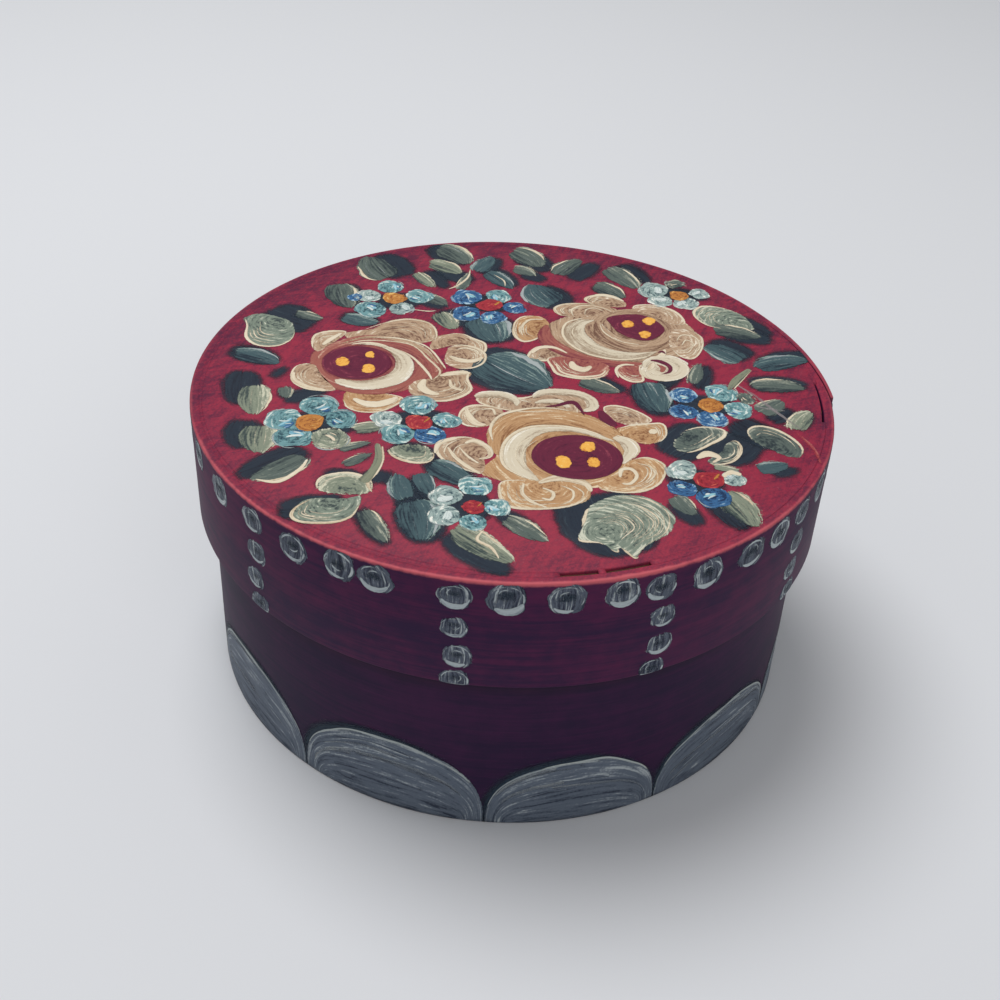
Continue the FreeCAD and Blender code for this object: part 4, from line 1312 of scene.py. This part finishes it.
    body = ("tan", (36.5, 34), (
        (55, 23), (55, 33), (51, 40.8), (41, 46.9), (28.8, 45.4), (15.7, 40), (8, 32.3), (6.5, 23.8),
        (13.4, 15.4), (25, 10.8), (36.5, 10.8), (47.2, 17)))
    heart = (((45.2, 33), (44.4, 38), (39.5, 43), (32.6, 43), (27.4, 40.2), (28, 36.5), (31, 30.4),
              (36.5, 26.8), (41, 27.3)), (37, 35.5))
    dots = ((33.9, 36.5, 5), (40.5, 39.1, 5), (39, 30.9, 4.8))
    paint_rose("right_rose", 32, heart, body, petals, lines, dots)


def paint_front_rose():
    petals = (
        ("tan", 1, (8, -12), (
            (23.5, -10), (21, -5.5), (15, -3), (8, -4), (5, -8), (1, -9), (-5, -6.5), (-10.5, -9),
            (-9, -13), (0, -16), (10, -14.5), (20, -14.5))),
        ("tan", 1, (30, -17), (
            (38.4, -16.3), (36.3, -13.8), (31.3, -10.5), (27.2, -10), (24.7, -12.2), (26.3, -15.5),
            (28, -18.8), (32.2, -20), (37.2, -18.8))),
        ("ochre", 2, (37, -23.5), (
            (42.2, -20.5), (40.5, -17.6), (36.3, -18.8), (31.3, -20), (28, -22.2), (29.7, -25.5),
            (32.2, -28), (36.3, -29.2), (39.7, -27.6), (41.8, -24.7))),
        ("ochre", 1, (30.5, -44.5), (
            (40.9, -38), (37.2, -34.7), (33, -35.5), (30.5, -38), (28, -43), (24.7, -45.5), (22.2, -49.7),
            (25.5, -51.7), (31.3, -51.7), (36.3, -49.7), (40, -44.7))),
        ("ochre", 2, (9, -51.5), (
            (21, -54.7), (20.5, -49.7), (17.2, -46.3), (13, -46), (8.8, -48.4), (3, -48), (-2, -49.3),
            (-2.8, -53), (-2.4, -57.2), (-0.3, -60.5), (4.7, -61), (11.3, -60), (17.2, -58))),
        ("tan", 1, (-9.5, -38), (
            (-4.9, -35.5), (-7, -31.3), (-11.2, -29.7), (-15.3, -30), (-19, -33), (-19.9, -37.2),
            (-17.8, -41.3), (-13.7, -44.7), (-9.5, -46), (-7, -46.8), (-6.2, -43), (-6.5, -39.5))),
        ("tan", 1, (-7.5, -18), (
            (-2, -18.8), (-2.4, -15.5), (-6.2, -13.8), (-11.2, -13.8), (-14, -16.3), (-14.9, -21.3),
            (-12, -25), (-7, -24.7), (-4.5, -22.2))),
    )
    lines = (
        ("maroon", 1, ((24, -13, 2), (26, -18, 5), (28.5, -21, 2))),
        ("ochre", 2, ((-3, -38, 4), (-3, -28, 8), (2, -20, 9), (11, -17.5, 9), (20, -19.5, 8),
                      (28, -25, 4))),
        ("cream", 4, ((-4.6, -32, 0.5), (-5.6, -25, 1.2), (-3, -18.5, 1.2), (3, -14.8, 1.1),
                      (10, -13.4, 0.9), (17, -14.6, 0.5))),
        ("milk", 3, ((8.5, -49, 1.8), (2.6, -43.6, 5.6), (0.8, -37, 7.4), (1.8, -31, 7.2), (5.5, -26, 5.4),
                     (11, -23.6, 4), (18, -24, 3.2), (24, -26.5, 2.4), (28.8, -29, 1.2))),
        ("cream", 4, ((5, -48, 0.6), (-1, -43, 1.0), (-2.3, -36, 1.3), (-0.4, -29, 1.4), (4.5, -23.8, 1.4),
                      (12, -22.3, 1.3), (19, -23.3, 1.0), (25, -26.2, 0.6))),
        ("cream", 4, ((4, -44, 0.4), (1.5, -38, 0.6), (2.5, -32, 0.6), (6, -27.5, 0.5))),
        ("cream", 4, ((6.5, -46, 0.4), (3.5, -40, 0.6), (4, -34, 0.6), (7, -29.5, 0.4))),
        ("milk", 3, ((27, -26.2, 2), (30.6, -28.4, 5), (32, -32, 5), (30.6, -36, 3.4), (29, -39, 1.4))),
        ("cream", 4, ((28, -25.2, 0.5), (32.4, -27.4, 0.9), (34, -32, 0.9), (32, -36.5, 0.5))),
        ("milk", 4, ((-10.6, -10, 2), (-8, -8.2, 4), (-3, -7.9, 4.4), (0.5, -10.2, 3.6), (1.2, -13.5, 1.4))),
        ("milk", 4, ((5.6, -9, 2), (8, -5.6, 3.6), (13, -4.7, 4.2), (18, -5.2, 4.2), (21.6, -8, 4.2),
                     (22, -12, 4), (19.3, -14.3, 1.8))),
        ("milk", 4, ((6, -11.4, 1.6), (9, -10, 3), (13, -10, 3.2), (15.6, -13, 1.8))),
        ("maroon", 4, ((8.5, -12.8, 0.8), (12, -12, 2), (17, -10, 2.6), (20, -17, 1))),
        ("cream", 4, ((-12.6, -15.2, 0.7), (-11.7, -19.5, 2.2), (-9.5, -23, 2.4), (-6.8, -23.6, 1.2))),
        ("cream", 4, ((-8.5, -16, 0.5), (-5.5, -15.5, 1.0), (-4.5, -18.5, 0.8))),
        ("cream", 4, ((37.2, -22, 1.6), (38.2, -22.6, 3), (39, -23.4, 1.4))),
        ("cream", 4, ((33, -38, 0.4), (36.5, -39.5, 0.8), (37.5, -43, 0.8), (35, -47, 0.5))),
        ("cream", 4, ((28.4, -45, 1.0), (29, -41.4, 1.5), (31.6, -41, 1.5), (32.8, -44, 1.2),
                      (31, -47.4, 1.2), (28.6, -47.6, 0.6))),
        ("cream", 4, ((7.3, -49.4, 1), (11.3, -47, 2.8), (15.5, -46.8, 3), (19.6, -48.7, 2.4),
                      (20.8, -52, 1))),
        ("cream", 4, ((3.8, -49.6, 0.8), (3.4, -54, 1.3), (6, -57.6, 1.3), (9.8, -59.6, 0.6))),
        ("cream", 4, ((8.4, -51.3, 0.9), (11.2, -53.2, 1.2), (10.6, -56.2, 1.2), (8.2, -55.6, 0.6))),
        ("cream", 4, ((13, -49.8, 0.4), (16.2, -52, 0.8), (15.8, -56, 0.8), (12.5, -58.6, 0.4))),
        ("cream", 4, ((16, -49.5, 0.4), (18.8, -52.5, 0.7), (18, -56, 0.5))),
        ("cream", 4, ((-19.6, -38.4, 0.9), (-18.7, -33.5, 2), (-14.3, -30.5, 1.6))),
        ("cream", 4, ((-12.2, -33, 0.9), (-9.5, -31.6, 2), (-6, -34.5, 2), (-5.3, -38.3, 1.5),
                      (-8.2, -40, 0.9))),
        ("cream", 4, ((-16.6, -35, 0.7), (-14, -40, 1.4), (-10.5, -44, 1.5), (-7.3, -46.6, 0.9))),
        ("cream", 4, ((-14, -34, 0.5), (-11, -39, 1.0), (-8, -42, 0.7))),
    )
    body = ("ochre", (15, -34), (
        (32, -30), (29, -22.5), (25, -18), (18, -14.7), (11.3, -13.4), (3, -14.7), (-2.8, -18),
        (-5.7, -24), (-5, -31), (-4, -38), (-8, -46), (0, -50), (10, -50), (24, -50), (31, -42)))
    heart = (oval(17.5, -36.5, 12.5, 10.8, 12), (17.5, -36.5))
    dots = ((20.5, -31.6, 5.4), (13.8, -39.3, 5.6), (21.9, -38.8, 4.8))
    paint_rose("front_rose", 33, heart, body, petals, lines, dots)


# Dots round the lid's band: upright columns of four, and a row between the columns' top dots. The places in
# the row are shares of the gap from each column to the next.

DOT_COLUMNS = (-134.4, -97.3, -64.9, -32.7, 2, 38, 73, 108, 145, 184)
COLUMN_HEIGHTS = (28, 18.5, 9.5, 1.6)
ROW_SHARES = {0: (0.25, 0.49, 0.66), 1: (0.24, 0.52, 0.79), 2: (0.25, 0.54, 0.77)}
EVEN_SHARES = (0.25, 0.49, 0.74)
ROW_HEIGHT = 28.2
LID_STEP_RAMP = 1 * MM


def paint_band_dots():
    work = Brushwork(seed=41)
    across = math.radians(1) * LID_GROUND / MM

    def dot(azimuth, height, wide, tall):
        x = azimuth * across
        lean = work.chance.uniform(80, 100)
        work.stroke("pewter", x, height, tall, wide, lean, 20, 0, ends=(0.3, 0.3), rough=1.6)
        middle = height + tall * work.chance.uniform(0, 0.12)
        work.stroke("shadow", x, middle, wide * 0.66, tall * 0.56, 0, 20, 1, ends=(0.4, 0.4))
        for number in range(6):
            off = (number - 2.5 + work.chance.uniform(-0.4, 0.4)) * wide * 0.13
            long = tall * work.chance.uniform(0.25, 0.6)
            work.stroke("haze", x + off, height, long, 0.45, lean, 30, 2, detail=(6, 2))
        for start, sweep, heavy in ((205, 130, 0.22), (20, 110, 0.08), (110, 80, 0.08), (-40, 60, 0.1)):
            start += work.chance.uniform(-25, 25)
            sweep *= work.chance.uniform(0.6, 1.1)
            heavy *= tall * work.chance.uniform(0.5, 1.2)
            curl(work, "foam", x, height, tall * 0.4, start, sweep, heavy, 3, wide / tall)
        inner = work.chance.uniform(0, 360)
        curl(work, "foam", x, middle, tall * 0.2, inner, 110, tall * 0.07, 3, wide / tall)

    for column, azimuth in enumerate(DOT_COLUMNS):
        for height in COLUMN_HEIGHTS:
            at_top = height == COLUMN_HEIGHTS[0]
            wide = work.chance.uniform(8.6, 9.4) if at_top else work.chance.uniform(7.4, 8.6)
            tall = wide * work.chance.uniform(0.82, 0.92)
            dot(azimuth + work.chance.uniform(-0.6, 0.6), height, wide, tall)
        following = (*DOT_COLUMNS[1:], DOT_COLUMNS[0] + 360)[column]
        gap = following - azimuth
        for share in ROW_SHARES.get(column, EVEN_SHARES):
            height = ROW_HEIGHT + work.chance.uniform(-0.9, 0.6)
            wide = work.chance.uniform(9.4, 10.6)
            dot(azimuth + gap * share, height, wide, wide * work.chance.uniform(0.84, 0.94))
    place = round_band(LID_GROUND, LID_LAP_TIP, LID_STEP_RAMP, LID_FOOT, LID_TOP)
    work.wrap("band_dots", "lid", place)


# Scallops standing along the foot of the base: each from one azimuth to the next, with its height

SCALLOPS = (
    (-162, -127.3, 24), (-127.3, -91.3, 25.6), (-91.3, -59, 23), (-59, -25, 22.2), (-25, 10, 24),
    (10, 46, 23), (46, 82, 25), (82, 118, 23), (118, 153, 24), (153, 198, 24.5),
)
ARCH_STEPS = 50
BASE_STEP_RAMP = 7 * MM


def arch(work, paint, left, right, height, layer, depth=(0.0, 1), span=None):
    """A half round of paint standing on the foot, or a part of one, brushed over from left to right."""
    middle = (left + right) / 2
    half = (right - left) / 2
    seed = work.chance.uniform(0, 100)

    def shape(u, v):
        turned = math.pi * between(span or (1, 0), u)
        ring = between(depth, v)
        uneven = 1 + 0.05 * noise.noise(Vector((u * 1.6, seed, 0)))
        x = middle + half * (0.72 + 0.28 * ring) * math.cos(turned)
        y = height * ring * uneven * math.sin(turned) ** 0.75 - 0.5
        rim = (1 - ring) * height * max(0.25, math.sin(turned)) + 0.45
        if span:
            rim = min(rim, (1 - abs(u)) * 3)
        return x, y, (turned * half * 0.06, 0, ring * height * 0.75), v, rim

    work.lay(paint, layer, (ARCH_STEPS, 10 if depth[0] < 0.5 else 3), shape)


def paint_scallops():
    work = Brushwork(seed=51)
    across = math.radians(1) * BASE_GROUND / MM
    for left, right, height in SCALLOPS:
        start, end = left * across, right * across
        arch(work, "shadow", start - 3.0, end + 0.5, height + 2.6, 0)
        arch(work, "slate", start + 0.2, end - 0.2, height, 1)
        for number in range(7):
            near = work.chance.uniform(0.35, 0.93)
            first = work.chance.uniform(0.6, 0.95)
            last = first - work.chance.uniform(0.3, 0.6)
            band = (near, near + work.chance.uniform(0.02, 0.07))
            arch(work, "slate" if number < 3 else "haze", start, end, height, 2, band, (first, last))
        for first, last, thick in ((0.92, 0.45, 0.022), (0.6, 0.12, 0.03)):
            first += work.chance.uniform(-0.08, 0.04)
            last += work.chance.uniform(-0.06, 0.1)
            arch(work, "mist", start + 0.2, end - 0.2, height, 3, (1 - thick, 1.0), (first, last))
    place = round_band(BASE_GROUND, BASE_LAP_TIP, BASE_STEP_RAMP, 0, WALL_TOP)
    work.wrap("base_scallops", "base", place)


# Floor, lights and camera


FLOOR_REACH = 4.0
WORLD_LIGHT = 0.34


def make_stage():
    bm = bmesh.new()
    bmesh.ops.create_grid(bm, x_segments=1, y_segments=1, size=FLOOR_REACH)
    mesh = bpy.data.meshes.new("floor")
    bm.to_mesh(mesh)
    bm.free()
    floor = bpy.data.objects.new("floor", mesh)
    bpy.context.scene.collection.objects.link(floor)
    finish = Finish("pale_floor", roughness=0.8)
    mesh.materials.append(finish.finished(colour(226, 228, 232)))


def make_lamp(name, place, size, power):
    """A soft lamp that faces the box."""
    lamp = bpy.data.lights.new(name, "AREA")
    lamp.shape = "DISK"
    lamp.size = size
    lamp.energy = power
    holder = bpy.data.objects.new(name, lamp)
    holder.location = place
    holder.rotation_euler = (Vector((0, 0, LID_TOP)) - Vector(place)).to_track_quat("-Z", "Y").to_euler()
    bpy.context.scene.collection.objects.link(holder)


def make_light():
    world = bpy.data.worlds.new("studio")
    world.use_nodes = True
    sky = world.node_tree.nodes["Background"]
    sky.inputs["Color"].default_value = (1, 1, 1, 1)
    sky.inputs["Strength"].default_value = WORLD_LIGHT
    bpy.context.scene.world = world
    make_lamp("overhead", (-0.35, 0.3, 1.4), 0.9, 13)
    make_lamp("front", (0.6, -1.3, 0.9), 0.9, 3.5)


FOCAL_PIXELS = 1381
FRAME_PIXELS = 1000
CAMERA_PLACE = (-2.05 * MM, -335.5 * MM, LID_TOP + 202.8 * MM)
CAMERA_DOWN = 36.12
CAMERA_ROLL = 3.0


def make_camera():
    data = bpy.data.cameras.new("camera")
    data.sensor_width = 36
    data.lens = data.sensor_width * FOCAL_PIXELS / FRAME_PIXELS
    data.clip_start = 0.01
    camera = bpy.data.objects.new("camera", data)
    tilt = Matrix.Rotation(math.radians(90 - CAMERA_DOWN), 4, "X")
    roll = Matrix.Rotation(math.radians(CAMERA_ROLL), 4, "Z")
    camera.matrix_world = Matrix.Translation(CAMERA_PLACE) @ tilt @ roll
    bpy.context.scene.collection.objects.link(camera)
    bpy.context.scene.camera = camera


red_paint = make_wood()
fill_groove(red_paint)
paint_leaves()
paint_fan_leaf()
paint_flowers()
paint_left_rose()
paint_right_rose()
paint_front_rose()
paint_band_dots()
paint_scallops()
make_stage()
make_light()
make_camera()
bpy.context.scene.view_settings.view_transform = "Standard"
